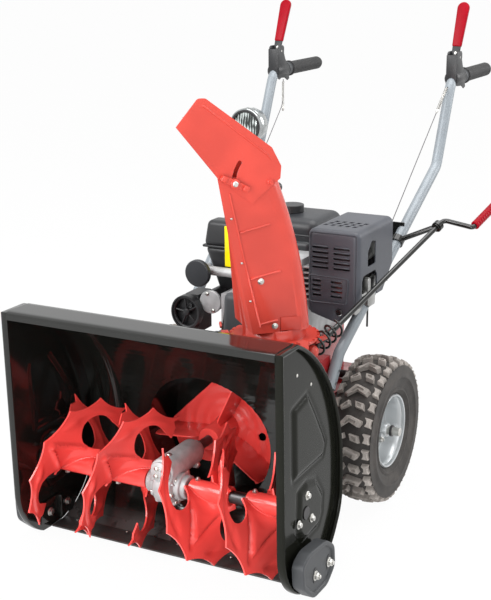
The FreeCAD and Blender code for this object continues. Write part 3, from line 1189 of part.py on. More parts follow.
recoil = turned_on_y([(0, engine_rear), (84, engine_rear), (84, engine_rear + 30), (70, engine_rear + 52),
                      (30, engine_rear + 58), (0, engine_rear + 58), (0, engine_rear + 55), (30, engine_rear + 55),
                      (68, engine_rear + 49), (81, engine_rear + 28), (81, engine_rear + 3), (0, engine_rear + 3)],
                     0, crank_height)
recoil_slots = []
for k in range(10):
    vent = Part.makeBox(26, 30, 6, Vector(36, engine_rear + 40, -3))
    vent.rotate(Vector(), Vector(0, 1, 0), 36 * k)
    vent.translate(Vector(0, 0, crank_height))
    recoil_slots.append(vent)
pull_x, pull_z = 40, crank_height + 20
recoil = recoil.cut(Part.makeCompound(recoil_slots))
seat_plate = Part.makeCylinder(12, 12, Vector(pull_x, engine_rear + 48, pull_z), Vector(0, 1, 0))
keep("recoil_cover", feature("recoil_blank", recoil.fuse(seat_plate).cut(
    Part.makeCylinder(4.3, 60, Vector(pull_x, engine_rear + 30, pull_z), Vector(0, 1, 0)))))
pull = Part.makeBox(60, 14, 12, Vector(pull_x - 30, engine_rear + 68, pull_z - 6))
pull = pull.makeFillet(5, [edge for edge in pull.Edges if edge_along(edge, Vector(1, 0, 0))])
pull = pull.multiFuse([Part.makeCylinder(7, 10, Vector(pull_x, engine_rear + 60.3, pull_z), Vector(0, 1, 0)),
                       Part.makeCylinder(4, 24, Vector(pull_x, engine_rear + 46, pull_z), Vector(0, 1, 0))])
keep("recoil_handle", feature("pull_blank", pull))


def air_cover(shrink, open_reach):
    x0, x1 = -160 + shrink, -40 - shrink + open_reach
    y0 = block_y + 40 + shrink
    lower = Part.makeBox(x1 - x0, 160 - 2 * shrink, tank_low - 3 - 455 - shrink, Vector(x0, y0, 455 + shrink))
    upper = Part.makeBox(x1 - x0, 57 - 2 * shrink, 605 - 460 - 2 * shrink, Vector(x0, y0, 460 + shrink))
    return lower.fuse(upper)


air_box = air_cover(0, 0)
air_box = air_box.makeFillet(7, [edge for edge in air_box.Edges if edge_along(edge, Vector(0, 0, 1))
                                 and edge.CenterOfMass.x < -150 and edge.CenterOfMass.y < block_y + 60])
lip = Part.makeBox(124, 61, 5, Vector(-162, block_y + 38, tank_low - 2))
carburettor = air_box.fuse(lip).cut(air_cover(3, 0))
intake = rod_between((-43.5, block_y + 90, 500), (-36, block_y + 90, 500), 16)
keep("carburettor_cover", feature("air_blank", carburettor.fuse(intake)))

starter_x, starter_z = -120, crank_height - 30
starter = [rod_between((starter_x, block_y + 2, starter_z), (starter_x, block_y + 110, starter_z), 25),
           rod_between((starter_x, block_y, starter_z), (starter_x, block_y + 12, starter_z), 27),
           rod_between((starter_x, block_y + 98, starter_z), (starter_x, block_y + 110, starter_z), 27),
           Part.makeBox(16, 60, 30, Vector(-106, block_y + 24, starter_z - 15))]
keep("starter_motor", feature("starter_blank", starter[0].multiFuse(starter[1:])))

switch_x, switch_z = -173, frame_top + 50


def oval(half_wide, half_high, low, high):
    loop = Part.Ellipse(Vector(switch_x, low, switch_z + half_high), Vector(switch_x + half_wide, low, switch_z),
                        Vector(switch_x, low, switch_z))
    return Part.Face(Part.Wire(loop.toShape())).extrude(Vector(0, high - low, 0))


shroud = oval(37, 40, block_y - 20, block_y - 0.5).cut(oval(34, 37, block_y - 22, block_y - 3.5))
switch = shroud.fuse(Part.makeBox(33, 60, 90, Vector(-182, block_y - 1, frame_top)))
button_bore = Part.makeCylinder(6 + gap, 30, Vector(-166, block_y - 12, switch_z + 14), Vector(0, 1, 0))
keep("switch_box", feature("switch_blank", switch.cut(button_bore)))
button = Part.makeCylinder(6, 24, Vector(-166, block_y - 9, switch_z + 14), Vector(0, 1, 0))
keep("start_button", feature("button_blank", button))

# bolts on the gearbox's two sides
for sign in (-1, 1):
    for degrees in (195, 240, 300, 345):
        y = auger_y + 34.5 * math.cos(math.radians(degrees))
        z = auger_height + 34.5 * math.sin(math.radians(degrees))
        head = on_side(sign, y, z, 4.5, 22, 25)
        fasteners.append(head.fuse(on_side(sign, y, z, 2.5, 14, 22)))
keep("housing_fasteners", feature("fastener_set", Part.makeCompound(fasteners)))

document.recompute()
for item in document.Objects:
    if "Invalid" in item.State or "Error" in item.State:
        raise RuntimeError(f"{item.Label} did not build")
for item in parts:
    if item.Shape.isNull() or not item.Shape.isValid():
        raise RuntimeError(f"{item.Label} has no valid shape")
# the sub-parts are written with the origin on the ground, under the middle of the whole machine's box
whole = Part.makeCompound([item.Shape for item in parts]).optimalBoundingBox(False)
to_origin = Vector(-round(whole.Center.x, 1), -round(whole.Center.y, 1), 0)
os.makedirs("parts", exist_ok=True)
for item in parts:
    written = item.Shape.copy()
    written.translate(to_origin)
    written.exportStep(f"parts/{item.Label}.step")
print(len(parts), "sub-parts written")
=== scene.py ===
import json
import math
from math import asin, atan2, cos, hypot, pi, radians, sin, sqrt, tan

import bmesh
import bpy
from mathutils import Matrix, Vector


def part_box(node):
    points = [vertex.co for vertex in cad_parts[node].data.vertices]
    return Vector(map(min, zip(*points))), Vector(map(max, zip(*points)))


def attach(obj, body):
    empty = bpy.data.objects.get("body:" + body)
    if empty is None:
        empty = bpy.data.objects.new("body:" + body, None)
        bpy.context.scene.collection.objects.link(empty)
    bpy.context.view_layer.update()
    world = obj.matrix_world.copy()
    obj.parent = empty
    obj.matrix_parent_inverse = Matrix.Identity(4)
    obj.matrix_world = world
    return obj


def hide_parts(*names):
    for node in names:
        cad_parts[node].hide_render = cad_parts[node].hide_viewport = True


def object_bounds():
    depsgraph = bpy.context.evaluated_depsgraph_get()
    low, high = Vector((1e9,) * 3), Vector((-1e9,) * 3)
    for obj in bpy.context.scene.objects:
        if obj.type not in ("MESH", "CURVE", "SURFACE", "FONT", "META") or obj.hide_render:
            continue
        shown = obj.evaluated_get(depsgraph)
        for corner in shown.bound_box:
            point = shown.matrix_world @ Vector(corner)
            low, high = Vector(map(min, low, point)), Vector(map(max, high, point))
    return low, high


# A two-stage snow blower. The frame gives every place; lengths below are millimetres unless a line says metres.
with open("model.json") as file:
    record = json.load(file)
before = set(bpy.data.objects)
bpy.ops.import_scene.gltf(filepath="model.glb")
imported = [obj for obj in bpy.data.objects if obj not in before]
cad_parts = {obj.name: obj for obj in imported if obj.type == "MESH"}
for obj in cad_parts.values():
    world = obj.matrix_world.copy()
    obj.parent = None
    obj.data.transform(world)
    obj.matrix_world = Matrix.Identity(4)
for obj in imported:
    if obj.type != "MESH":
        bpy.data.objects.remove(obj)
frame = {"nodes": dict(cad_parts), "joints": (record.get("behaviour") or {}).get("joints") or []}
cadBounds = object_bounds()
scene = bpy.context.scene
joints = {joint["name"]: joint for joint in frame["joints"]}
machineMiddle = joints["auger_spin"]["pos_m"][0]
housingFront = joints["auger_spin"]["pos_m"][1] - 0.118


def at(across, back, up):  # from the centre plane, back from the housing's front edge, up from the ground; in metres
    return Vector((machineMiddle + across / 1000, housingFront + back / 1000, up / 1000))


def boxOf(node):  # a node's two corners in the same millimetres
    low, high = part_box(node)
    shift = Vector((machineMiddle, housingFront, 0))
    return (low - shift) * 1000, (high - shift) * 1000


class Wire:  # one output of a node; sums written on it become Math nodes
    def __init__(self, graph, socket):
        self.graph, self.socket = graph, socket

    def other(self, name):  # another output of the same node
        return Wire(self.graph, self.socket.node.outputs[name])

    def sum(self, operation, first, second):
        return self.graph.node("ShaderNodeMath", {"operation": operation}, {0: first, 1: second})

    def __add__(self, value):
        return self.sum("ADD", self, value)

    def __radd__(self, value):
        return self.sum("ADD", value, self)

    def __sub__(self, value):
        return self.sum("SUBTRACT", self, value)

    def __rsub__(self, value):
        return self.sum("SUBTRACT", value, self)

    def __mul__(self, value):
        return self.sum("MULTIPLY", self, value)

    def __rmul__(self, value):
        return self.sum("MULTIPLY", value, self)


class Graph:
    def __init__(self, tree):
        self.tree = tree

    def node(self, kind, settings=None, inputs=None, output=0):
        made = self.tree.nodes.new(kind)
        for name, value in (settings or {}).items():
            if name == "stops":
                ramp = made.color_ramp.elements
                while len(ramp) < len(value):
                    ramp.new(1)
                for stop, (place, colour) in zip(ramp, value):
                    stop.position = place
                    stop.color = (*colour, 1)
            else:
                setattr(made, name, value)
        for key, value in (inputs or {}).items():
            if isinstance(value, Wire):
                self.tree.links.new(value.socket, made.inputs[key])
            else:
                made.inputs[key].default_value = value
        return Wire(self, made.outputs[output]) if len(made.outputs) else None

    def blend(self, share, low, high):  # two colours mixed by a share
        return self.node("ShaderNodeMix", {"data_type": "RGBA"}, {0: share, 6: low, 7: high}, 2)

    def noise(self, where, scale, detail=3, rough=0.55):
        return self.node("ShaderNodeTexNoise", None, {"Vector": where, "Scale": scale, "Detail": detail,
                "Roughness": rough})

    def between(self, value, low, high):  # 0 below low, 1 above high, smooth in between
        return self.node("ShaderNodeMapRange", {"interpolation_type": "SMOOTHSTEP"},
                         {"Value": value, "From Min": low, "From Max": high})


def rgb(red, green, blue):
    return (red, green, blue, 1)


def toned(colour, times, plus=0):  # a colour made lighter or darker
    return rgb(*[min(1, part * times + plus) for part in colour])


def newFinish(name):
    finish = bpy.data.materials.new(name)
    finish.use_nodes = True
    finish.node_tree.nodes.clear()
    graph = Graph(finish.node_tree)
    where = graph.node("ShaderNodeTexCoord", output="Object")
    return finish, graph, where


def closeFinish(finish, graph, inputs, height=None, bump=0.2, depth=0.0004):
    values = dict(inputs)
    if height is not None:
        values["Normal"] = graph.node("ShaderNodeBump", None, {"Height": height, "Strength": bump, "Distance": depth})
    shader = graph.node("ShaderNodeBsdfPrincipled", None, values)
    graph.node("ShaderNodeOutputMaterial", None, {"Surface": shader})
    return finish


def wornEdges(graph, radius):  # 1 where a corner is sharper than the radius, 0 on open faces
    soft = graph.node("ShaderNodeBevel", {"samples": 4}, {"Radius": radius})
    plain = graph.node("ShaderNodeNewGeometry", output="Normal")
    alike = graph.node("ShaderNodeVectorMath", {"operation": "DOT_PRODUCT"}, {0: soft, 1: plain}, "Value")
    return graph.between(1 - alike, 0.02, 0.22)


paintLooks = {
    "blackPaint": {"colour": (0.0075, 0.0078, 0.0068), "edge": (0.03, 0.03, 0.03), "rough": 0.1, "worn": 0.25,
                   "specular": 0.5, "peel": 0.05, "dust": 0.012},
    "drumPaint": {"colour": (0.0075, 0.0078, 0.0068), "edge": (0.075, 0.072, 0.07), "rough": 0.1, "worn": 0.25,
                  "specular": 0.6, "peel": 0.05, "dust": 0.012, "rubbed": (0.022, 0.05)},
    # a copy of the black paint for the right side plate alone: its paler colour is painted light on that plate
    "rightPlatePaintedLight": {"colour": (0.010, 0.0105, 0.008), "edge": (0.05, 0.05, 0.048), "rough": 0.13, "worn": 0.3,
                   "specular": 0.12, "peel": 0.05, "dust": 0.012},
    "redPaint": {"colour": (0.56, 0.056, 0.038), "edge": (0.42, 0.03, 0.02), "rough": 0.22, "worn": 0.55,
                 "specular": 0.4, "peel": 0.06, "dust": 0.03},
    # the augers' and impeller's red: the red paint made lighter, painted light for the shaded inside of the housing
    "augerRed": {"colour": (0.84, 0.074, 0.064), "edge": (0.5, 0.06, 0.05), "rough": 0.2, "worn": 0.6,
                 "specular": 0.55, "peel": 0.06, "dust": 0.03},
    "wornBlack": {"colour": (0.05, 0.048, 0.046), "edge": (0.16, 0.16, 0.155), "rough": 0.36, "worn": 1.0,
                  "specular": 0.3, "peel": 0.12, "dust": 0.06},
    # the frame's red: the red paint made darker, painted shade on the frame below the engine
    "frameRedPaintedShade": {"colour": (0.30, 0.010, 0.012), "edge": (0.25, 0.02, 0.02), "rough": 0.2, "worn": 0.5,
                 "specular": 0.45, "peel": 0.06, "dust": 0.03},
    "silverPaint": {"colour": (0.235, 0.262, 0.285), "edge": (0.5, 0.5, 0.5), "rough": 0.36, "worn": 0.4,
                    "specular": 0.5, "peel": 0.04, "dust": 0.02, "metal": 0.1},
    "rimSilver": {"colour": (0.50, 0.52, 0.53), "edge": (0.7, 0.7, 0.7), "rough": 0.3, "worn": 0.4,
                  "specular": 0.5, "peel": 0.05, "dust": 0.03, "metal": 0.6},
}


def paint(name):  # a sprayed coat: orange peel, a slow change of tone, a little dust and paler worn corners
    look = paintLooks[name]
    finish, graph, where = newFinish(name)
    cloud = graph.noise(where, 9, 2)
    peel = graph.noise(where, 420, 2)
    speck = graph.between(graph.noise(where, 1500, 1), 0.70, 0.78)
    worn = wornEdges(graph, 0.0012) * look["worn"] * graph.between(graph.noise(where, 60, 4), 0.35, 0.65)
    colour, edge = look["colour"], look["edge"]
    shade = graph.blend(graph.between(cloud, 0.3, 0.7), toned(colour, 0.9), toned(colour, 1.08))
    shade = graph.blend(speck * look["dust"] * 6, shade, rgb(0.5, 0.5, 0.48))
    if "rubbed" in look:  # the drum's floor is rubbed grey by what passes over it
        height = graph.node("ShaderNodeSeparateXYZ", None, {"Vector": where}, output="Z")
        low, high = look["rubbed"]
        bare = graph.between(graph.noise(where, 30, 4), 0.3, 0.5)
        floor = (1 - graph.between(height + cloud * 0.02, low, high)) * bare
        worn = worn.sum("MAXIMUM", worn, floor * 0.85)
    shade = graph.blend(worn, shade, rgb(*edge))
    roughness = cloud * 0.06 + peel * 0.05 + worn * 0.25 + speck * 0.2 + (look["rough"] - 0.055)
    return closeFinish(finish, graph, {
        "Base Color": shade, "Roughness": roughness, "Metallic": look.get("metal", 0),
        "Specular IOR Level": look["specular"],
    }, peel * 0.6 + cloud * 0.4, look["peel"], 0.0006)


plasticLooks = {
    "engineCover": {"colour": (0.016, 0.0176, 0.021), "rough": 0.42, "grain": 0.22, "specular": 0.45},
    "blackPlastic": {"colour": (0.014, 0.0145, 0.016), "rough": 0.4, "grain": 0.2, "specular": 0.45},
    "greyPlastic": {"colour": (0.045, 0.048, 0.052), "rough": 0.46, "grain": 0.25, "specular": 0.4},
    "redPlastic": {"colour": (0.27, 0.0008, 0.008), "rough": 0.34, "grain": 0.06, "specular": 0.1},
    "guardPlastic": {"colour": (0.052, 0.056, 0.068), "rough": 0.42, "grain": 0.22, "specular": 0.4},
    "cableSheath": {"colour": (0.012, 0.012, 0.013), "rough": 0.35, "grain": 0.05, "specular": 0.5},
    "yellowSheet": {"colour": (0.90, 0.72, 0.0), "rough": 0.35, "grain": 0.03, "specular": 0.4},
}


def plastic(name):  # a moulding: spark-eroded grain, faint flow marks and scuffs on its corners
    look = plasticLooks[name]
    finish, graph, where = newFinish(name)
    flow = graph.noise(where, 14, 3)
    grain = graph.noise(where, 1300, 2)
    scuff = wornEdges(graph, 0.0015) * graph.between(graph.noise(where, 45, 4), 0.4, 0.7)
    colour = look["colour"]
    shade = graph.blend(graph.between(flow, 0.3, 0.7), toned(colour, 0.88), toned(colour, 1.12))
    shade = graph.blend(scuff * 0.3, shade, toned(colour, 1.5, 0.02))
    roughness = flow * 0.1 + grain * 0.08 + scuff * 0.08 + (look["rough"] - 0.09)
    return closeFinish(finish, graph, {
        "Base Color": shade, "Roughness": roughness, "Specular IOR Level": look["specular"],
    }, grain, look["grain"], 0.0003)


metalLooks = {
    "zincSteel": {"colour": (0.62, 0.61, 0.58), "rough": 0.3, "grain": 700, "bump": 0.08},
    "darkSteel": {"colour": (0.085, 0.082, 0.085), "rough": 0.36, "grain": 500, "bump": 0.1},
    "castAlloy": {"colour": (0.44, 0.445, 0.45), "rough": 0.52, "grain": 900, "bump": 0.4, "metal": 0.3},
    "mufflerSteel": {"colour": (0.42, 0.42, 0.41), "rough": 0.28, "grain": 300, "bump": 0.12},
    "lampChrome": {"colour": (0.44, 0.46, 0.46), "rough": 0.14, "grain": 40, "bump": 0.01},
}


def metal(name):  # bare or plated metal: fine grain, dull patches and brighter rubbed corners
    look = metalLooks[name]
    finish, graph, where = newFinish(name)
    patch = graph.noise(where, 35, 4)
    grain = graph.noise(where, look["grain"], 3)
    rubbed = wornEdges(graph, 0.001)
    colour = look["colour"]
    shade = graph.blend(graph.between(patch, 0.3, 0.7), toned(colour, 0.78), toned(colour, 1.1))
    shade = graph.blend(rubbed * 0.5, shade, toned(colour, 1.35, 0.03))
    roughness = patch * 0.14 + grain * 0.06 - rubbed * 0.08 + (look["rough"] - 0.08)
    return closeFinish(finish, graph, {"Base Color": shade, "Roughness": roughness, "Metallic": look.get("metal", 1)},
                       grain, look["bump"], 0.0004)


rubberLooks = {
    "gripRubber": {"colour": (0.016, 0.016, 0.017), "dust": (0.05, 0.048, 0.045), "rough": 0.62, "share": 0.3},
    "beltRubber": {"colour": (0.02, 0.02, 0.02), "dust": (0.06, 0.055, 0.05), "rough": 0.7, "share": 0.3},
    "tyreRubber": {"colour": (0.034, 0.031, 0.029), "dust": (0.105, 0.094, 0.086), "rough": 0.72, "share": 0.5},
    # the lugs' rubber: dust lies on them, and their far paler colour than the carcass is painted light on the lug faces
    "lugRubberDustAndPaintedLight": {"colour": (0.27, 0.245, 0.225), "dust": (0.46, 0.42, 0.385), "rough": 0.8, "share": 0.75},
}


def rubber(name):  # rubber with dry dust that lies unevenly and gathers off the corners
    look = rubberLooks[name]
    finish, graph, where = newFinish(name)
    cloud = graph.noise(where, 26, 5, 0.65)
    fine = graph.noise(where, 480, 4, 0.7)
    dust = graph.between(cloud * 0.6 + fine * 0.4, 0.42, 0.62) * look["share"]
    shade = graph.blend(dust, rgb(*look["colour"]), rgb(*look["dust"]))
    roughness = dust * 0.2 + fine * 0.1 + (look["rough"] - 0.1)
    return closeFinish(finish, graph, {"Base Color": shade, "Roughness": roughness, "Specular IOR Level": 0.35},
                       fine * 0.7 + cloud * 0.3, 0.35, 0.0005)


def lampGlass():  # a pressed lens with ribs and prisms; its patches of light and dark are painted reflections in its colour
    finish, graph, where = newFinish("lampGlass")
    haze = graph.between(graph.noise(where, 60, 4), 0.45, 0.75)
    ribs = graph.node("ShaderNodeTexWave", {"bands_direction": "X"}, {"Vector": where, "Scale": 45, "Distortion": 2.5,
            "Detail": 1})
    # painted reflections: pale and dark patches laid into the lens's colour
    patch = graph.between(graph.noise(where, 46, 1) * 0.75 + ribs * 0.25, 0.4, 0.62)
    shade = graph.blend(patch, rgb(0.035, 0.042, 0.04), rgb(0.62, 0.68, 0.66))
    return closeFinish(finish, graph, {
        "Base Color": shade, "Roughness": haze * 0.08 + 0.05, "Metallic": 0.55, "Coat Weight": 0.3,
    }, ribs, 0.3, 0.0006)


finishes = {name: paint(name) for name in paintLooks}
finishes.update({name: plastic(name) for name in plasticLooks})
finishes.update({name: metal(name) for name in metalLooks})
finishes.update({name: rubber(name) for name in rubberLooks})
finishes["lampGlass"] = lampGlass()
slotFinish = {
    "black_paint": "blackPaint", "red_paint": "redPaint", "silver_paint": "silverPaint",
    "black_plastic": "blackPlastic", "dark_plastic": "engineCover", "red_plastic": "redPlastic",
    "black_rubber": "gripRubber", "belt_rubber": "beltRubber", "cable_black": "cableSheath",
    "tyre_rubber": "tyreRubber", "zinc_steel": "zincSteel", "dark_steel": "darkSteel",
    "cast_alloy": "castAlloy", "lamp_chrome": "lampChrome", "lamp_glass": "lampGlass",
}
usualSlot = {finish: slot for slot, finish in slotFinish.items()}
usualSlot.update({
    "drumPaint": "black_paint", "rightPlatePaintedLight": "black_paint", "wornBlack": "black_paint", "augerRed": "red_paint",
    "frameRedPaintedShade": "red_paint", "rimSilver": "silver_paint", "mufflerSteel": "zinc_steel",
    "greyPlastic": "dark_plastic", "guardPlastic": "dark_plastic", "lugRubberDustAndPaintedLight": "tyre_rubber",
})
nodeSlot = {}
for node, made in frame["nodes"].items():
    nodeSlot[node] = made.data.materials[0].name.split(".")[0]
    made.data.materials[0] = finishes[slotFinish[nodeSlot[node]]]
# the frame box takes the darker red, painted shade
frame["nodes"]["frame_box"].data.materials[0] = finishes["frameRedPaintedShade"]
print("finishes:", len(finishes))


def cadShape(node, joined=True):  # a node's own surface in millimetres, its triangles joined into whole faces
    shape = bmesh.new()
    shape.from_mesh(frame["nodes"][node].data)
    bmesh.ops.remove_doubles(shape, verts=shape.verts, dist=0.00001)
    if joined:
        bmesh.ops.dissolve_limit(shape, angle_limit=radians(1), verts=shape.verts, edges=shape.edges)
    origin = at(0, 0, 0)
    for vert in shape.verts:
        vert.co = (vert.co - origin) * 1000
    return shape


def meshOf(shape, name):  # a shape in millimetres made a mesh in the frame's metres
    for vert in shape.verts:
        vert.co = at(*vert.co)
    mesh = bpy.data.meshes.new(name)
    shape.to_mesh(mesh)
    shape.free()
    return mesh


def finishPiece(made, finish, body, slot, standsFor=(), soft=0, sharp=35):
    mesh = made.data
    mesh.materials.clear()
    mesh.materials.append(finishes[finish])
    for polygon in mesh.polygons:
        polygon.use_smooth = True
    mesh.set_sharp_from_angle(angle=radians(sharp))
    if soft:
        bevel = made.modifiers.new("softCorners", "BEVEL")
        bevel.width = soft / 1000
        bevel.segments = 2
        bevel.limit_method = "ANGLE"
        bevel.angle_limit = radians(32)
        bevel.harden_normals = True
    if standsFor:
        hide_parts(*standsFor)
    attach(made, body)
    return made


def piece(name, shape, finish, standsFor=(), body="machine", slot=None, soft=0, sharp=35):
    slot = slot or usualSlot[finish]
    made = bpy.data.objects.new(name, meshOf(shape, name))
    scene.collection.objects.link(made)
    return finishPiece(made, finish, body, slot, standsFor, soft, sharp)


def absorb(target, *others):  # other shapes added to a shape
    for other in others:
        mesh = bpy.data.meshes.new("part")
        other.to_mesh(mesh)
        other.free()
        target.from_mesh(mesh)
        bpy.data.meshes.remove(mesh)
    return target


def axesOn(way, side=None):  # two directions square to a way
    way = Vector(way).normalized()
    side = Vector(side) if side else (Vector((0, 0, 1)) if abs(way.z) < 0.9 else Vector((1, 0, 0)))
    first = (side - way * side.dot(way)).normalized()
    return first, way.cross(first), way


def facingOut(shape):
    bmesh.ops.recalc_face_normals(shape, faces=shape.faces)


def skinned(shape, rings):  # faces between each ring of points and the next
    for low, high in zip(rings, rings[1:]):
        for k in range(len(low)):
            m = (k + 1) % len(low)
            shape.faces.new((low[k], low[m], high[m], high[k]))


def lathe(profile, start, way, steps=40):  # a profile of (radius, distance) turned round a line; closed by its ends
    shape = bmesh.new()
    first, second, way = axesOn(way)
    start = Vector(start)
    rings = []
    for radius, along in profile:
        if radius < 0.001:
            rings.append([shape.verts.new(start + way * along)])
        else:
            rings.append([shape.verts.new(start + way * along + first * (radius * cos(angle))
                                    + second * (radius * sin(angle)))
                    for angle in (2 * pi * k / steps for k in range(steps))])
    for low, high in zip(rings, rings[1:]):
        for k in range(steps):
            m = (k + 1) % steps
            corners = [low[k % len(low)], low[m % len(low)], high[m % len(high)], high[k % len(high)]]
            corners = [corner for n, corner in enumerate(corners) if corner not in corners[:n]]
            if len(corners) > 2:
                shape.faces.new(corners)
    for ring in (rings[0], rings[-1]):
        if len(ring) > 2 and rings[0] is not rings[-1]:
            shape.faces.new(ring)
    facingOut(shape)
    return shape


def ringLathe(profile, start, way, steps=64):  # a closed profile turned round a line, such as a tyre's
    shape = bmesh.new()
    first, second, way = axesOn(way)
    start = Vector(start)
    rings = [[shape.verts.new(start + way * along + first * (radius * cos(angle))
                              + second * (radius * sin(angle))) for radius, along in profile]
             for angle in (2 * pi * k / steps for k in range(steps))]
    skinned(shape, rings + rings[:1])
    facingOut(shape)
    return shape


def rounded(points, radius, steps=6):  # a line of points with its corners rounded
    points = [Vector(point) for point in points]
    line = [points[0]]
    for before, corner, after in zip(points, points[1:], points[2:]):
        into, away = (before - corner), (after - corner)
        turn = pi - into.angle(away)
        reach = min(radius * tan(turn / 2), into.length * 0.49, away.length * 0.49)
        for k in range(steps + 1):
            t = k / steps
            first = corner + into.normalized() * reach * (1 - t)
            second = corner + away.normalized() * reach * t
            line.append(first.lerp(second, t))
    return line + [points[-1]]


def tube(line, radius, sides=12, capped=True):  # a round bar along a line; the radius may change along it
    shape = bmesh.new()
    line = [Vector(point) for point in line]
    radii = radius if isinstance(radius, (list, tuple)) else [radius] * len(line)
    ways = [(after - before).normalized() for before, after in zip([line[0]] + line[:-1], line[1:] + [line[-1]])]
    first = axesOn(ways[0])[0]
    rings = []
    for point, way, size in zip(line, ways, radii):
        first = (first - way * first.dot(way)).normalized()
        second = way.cross(first)
        rings.append([shape.verts.new(point + first * (size * cos(2 * pi * k / sides))
                                + second * (size * sin(2 * pi * k / sides)))
                for k in range(sides)])
    skinned(shape, rings)
    if capped:
        shape.faces.new(reversed(rings[0]))
        shape.faces.new(rings[-1])
    return shape


def prism(outline, low, high, plane="YZ"):  # a flat outline made solid between two levels across its plane
    place = {"YZ": lambda a, b, c: (c, a, b), "XZ": lambda a, b, c: (a, c, b), "XY": lambda a, b, c: (a, b, c)}[plane]
    shape = bmesh.new()
    bottom = [shape.verts.new(place(a, b, low)) for a, b in outline]
    top = [shape.verts.new(place(a, b, high)) for a, b in outline]
    shape.faces.new(bottom)
    shape.faces.new(top)
    for k in range(len(outline)):
        m = (k + 1) % len(outline)
        shape.faces.new((bottom[k], bottom[m], top[m], top[k]))
    facingOut(shape)
    return shape


def block(low, high, soft=0, segments=3):  # a box between two corners with all its edges rounded
    shape = prism([(low[0], low[1]), (high[0], low[1]), (high[0], high[1]), (low[0], high[1])], low[2], high[2], "XY")
    return softened(shape, soft, segments) if soft else shape


def softened(shape, soft, segments=3, test=None):  # the chosen edges of a shape rounded
    edges = [edge for edge in shape.edges if edge.is_manifold and edge.calc_face_angle(0) > 0.3
             and (test is None or test(edge))]
    bmesh.ops.bevel(shape, geom=edges, offset=soft, segments=segments, profile=0.5, affect="EDGES",
                    clamp_overlap=True)
    return shape


def middleOf(edge):
    return (edge.verts[0].co + edge.verts[1].co) / 2


def wayOf(edge):
    return (edge.verts[0].co - edge.verts[1].co).normalized()


def moved(shape, matrix):
    bmesh.ops.transform(shape, matrix=matrix, verts=shape.verts)
    return shape


def mirrored(shape):  # the same on the machine's other side
    for vert in shape.verts:
        vert.co.x = -vert.co.x
    bmesh.ops.reverse_faces(shape, faces=shape.faces)
    return shape


def sided(sign, *shapes):  # left as drawn on the right, mirrored on the left
    for shape in shapes:
        if sign < 0:
            mirrored(shape)


def walled(shape, thick):  # a thin surface given a wall, half to each side, and closed round its edges
    shape.normal_update()
    faces, verts = shape.faces[:], shape.verts[:]
    rims = [edge.link_loops[0] for edge in shape.edges if len(edge.link_loops) == 1]
    rims = [(loop.vert, loop.link_loop_next.vert) for loop in rims]
    under = {vert: shape.verts.new(vert.co - vert.normal * (thick / 2)) for vert in verts}
    for vert in verts:
        vert.co += vert.normal * (thick / 2)
    for face in faces:
        shape.faces.new([under[vert] for vert in reversed(face.verts)])
    for a, b in rims:
        shape.faces.new((b, a, under[a], under[b]))
    if shape.calc_volume(signed=True) < 0:
        bmesh.ops.reverse_faces(shape, faces=shape.faces[:])
    return shape


def oneWay(shape):  # a flat sheet's faces all turned upwards
    shape.normal_update()
    bmesh.ops.reverse_faces(shape, faces=[face for face in shape.faces if face.normal.z < 0])


def filled(loops):  # outlines and their holes made one flat sheet of few faces
    shape = bmesh.new()
    for loop in loops:
        verts = [shape.verts.new((a, b, 0)) for a, b in loop]
        for first, second in zip(verts, verts[1:] + verts[:1]):
            shape.edges.new((first, second))
    bmesh.ops.triangle_fill(shape, use_beauty=True, edges=shape.edges[:])
    bmesh.ops.dissolve_limit(shape, angle_limit=0.01, verts=[], edges=shape.edges[:])
    return shape


def sliced(shape, way, level):  # faces are cut where a plane crosses them
    bmesh.ops.bisect_plane(shape, geom=shape.verts[:] + shape.edges[:] + shape.faces[:], dist=0.001,
                           plane_co=way * level, plane_no=way)


def sheetOf(loops, steps, place, thick):  # a flat cut-out gridded finely, then laid on a surface and given a wall
    shape = filled(loops)
    for way, step in ((Vector((1, 0, 0)), steps[0]), (Vector((0, 1, 0)), steps[1])):
        reach = [vert.co.dot(way) for vert in shape.verts]
        count = int((max(reach) - min(reach)) / step)
        for k in range(1, count + 1):
            level = min(reach) + (max(reach) - min(reach)) * k / (count + 1)
            sliced(shape, way, level)
    bmesh.ops.remove_doubles(shape, verts=shape.verts, dist=0.01)
    oneWay(shape)
    for vert in shape.verts:
        vert.co = place(vert.co.x, vert.co.y)
    return walled(shape, thick)


def circle(across, up, radius, steps=20):
    return [(across + radius * cos(2 * pi * k / steps), up + radius * sin(2 * pi * k / steps))
            for k in range(steps)]


def onCircle(middle, radius, degrees):
    turn = radians(degrees)
    return middle[0] + radius * cos(turn), middle[1] + radius * sin(turn)


def arc(first, middle, last, steps=8):  # points on the circle through three, without the first
    (ax, ay), (bx, by), (cx, cy) = first, middle, last
    d = 2 * (ax * (by - cy) + bx * (cy - ay) + cx * (ay - by))
    ux = ((ax * ax + ay * ay) * (by - cy) + (bx * bx + by * by) * (cy - ay) + (cx * cx + cy * cy) * (ay - by)) / d
    uy = ((ax * ax + ay * ay) * (cx - bx) + (bx * bx + by * by) * (ax - cx) + (cx * cx + cy * cy) * (bx - ax)) / d
    radius = hypot(ax - ux, ay - uy)
    begin, through, end = (atan2(y - uy, x - ux) for x, y in (first, middle, last))
    whole = (end - begin) % (2 * pi)
    if (through - begin) % (2 * pi) > whole:
        whole -= 2 * pi
    return [(ux + radius * cos(begin + whole * k / steps), uy + radius * sin(begin + whole * k / steps))
            for k in range(1, steps + 1)]


def traced(steps):  # an outline from points and from pairs that stand for arcs
    outline = [steps[0]]
    for step in steps[1:]:
        if isinstance(step[0], tuple):
            outline += arc(outline[-1], step[0], step[1])
        else:
            outline.append(step)
    return outline


def hill(distance, half):  # 1 on a line, falling smoothly to 0 at half a width from it
    share = min(1, abs(distance) / half)
    return (1 - share * share) ** 2


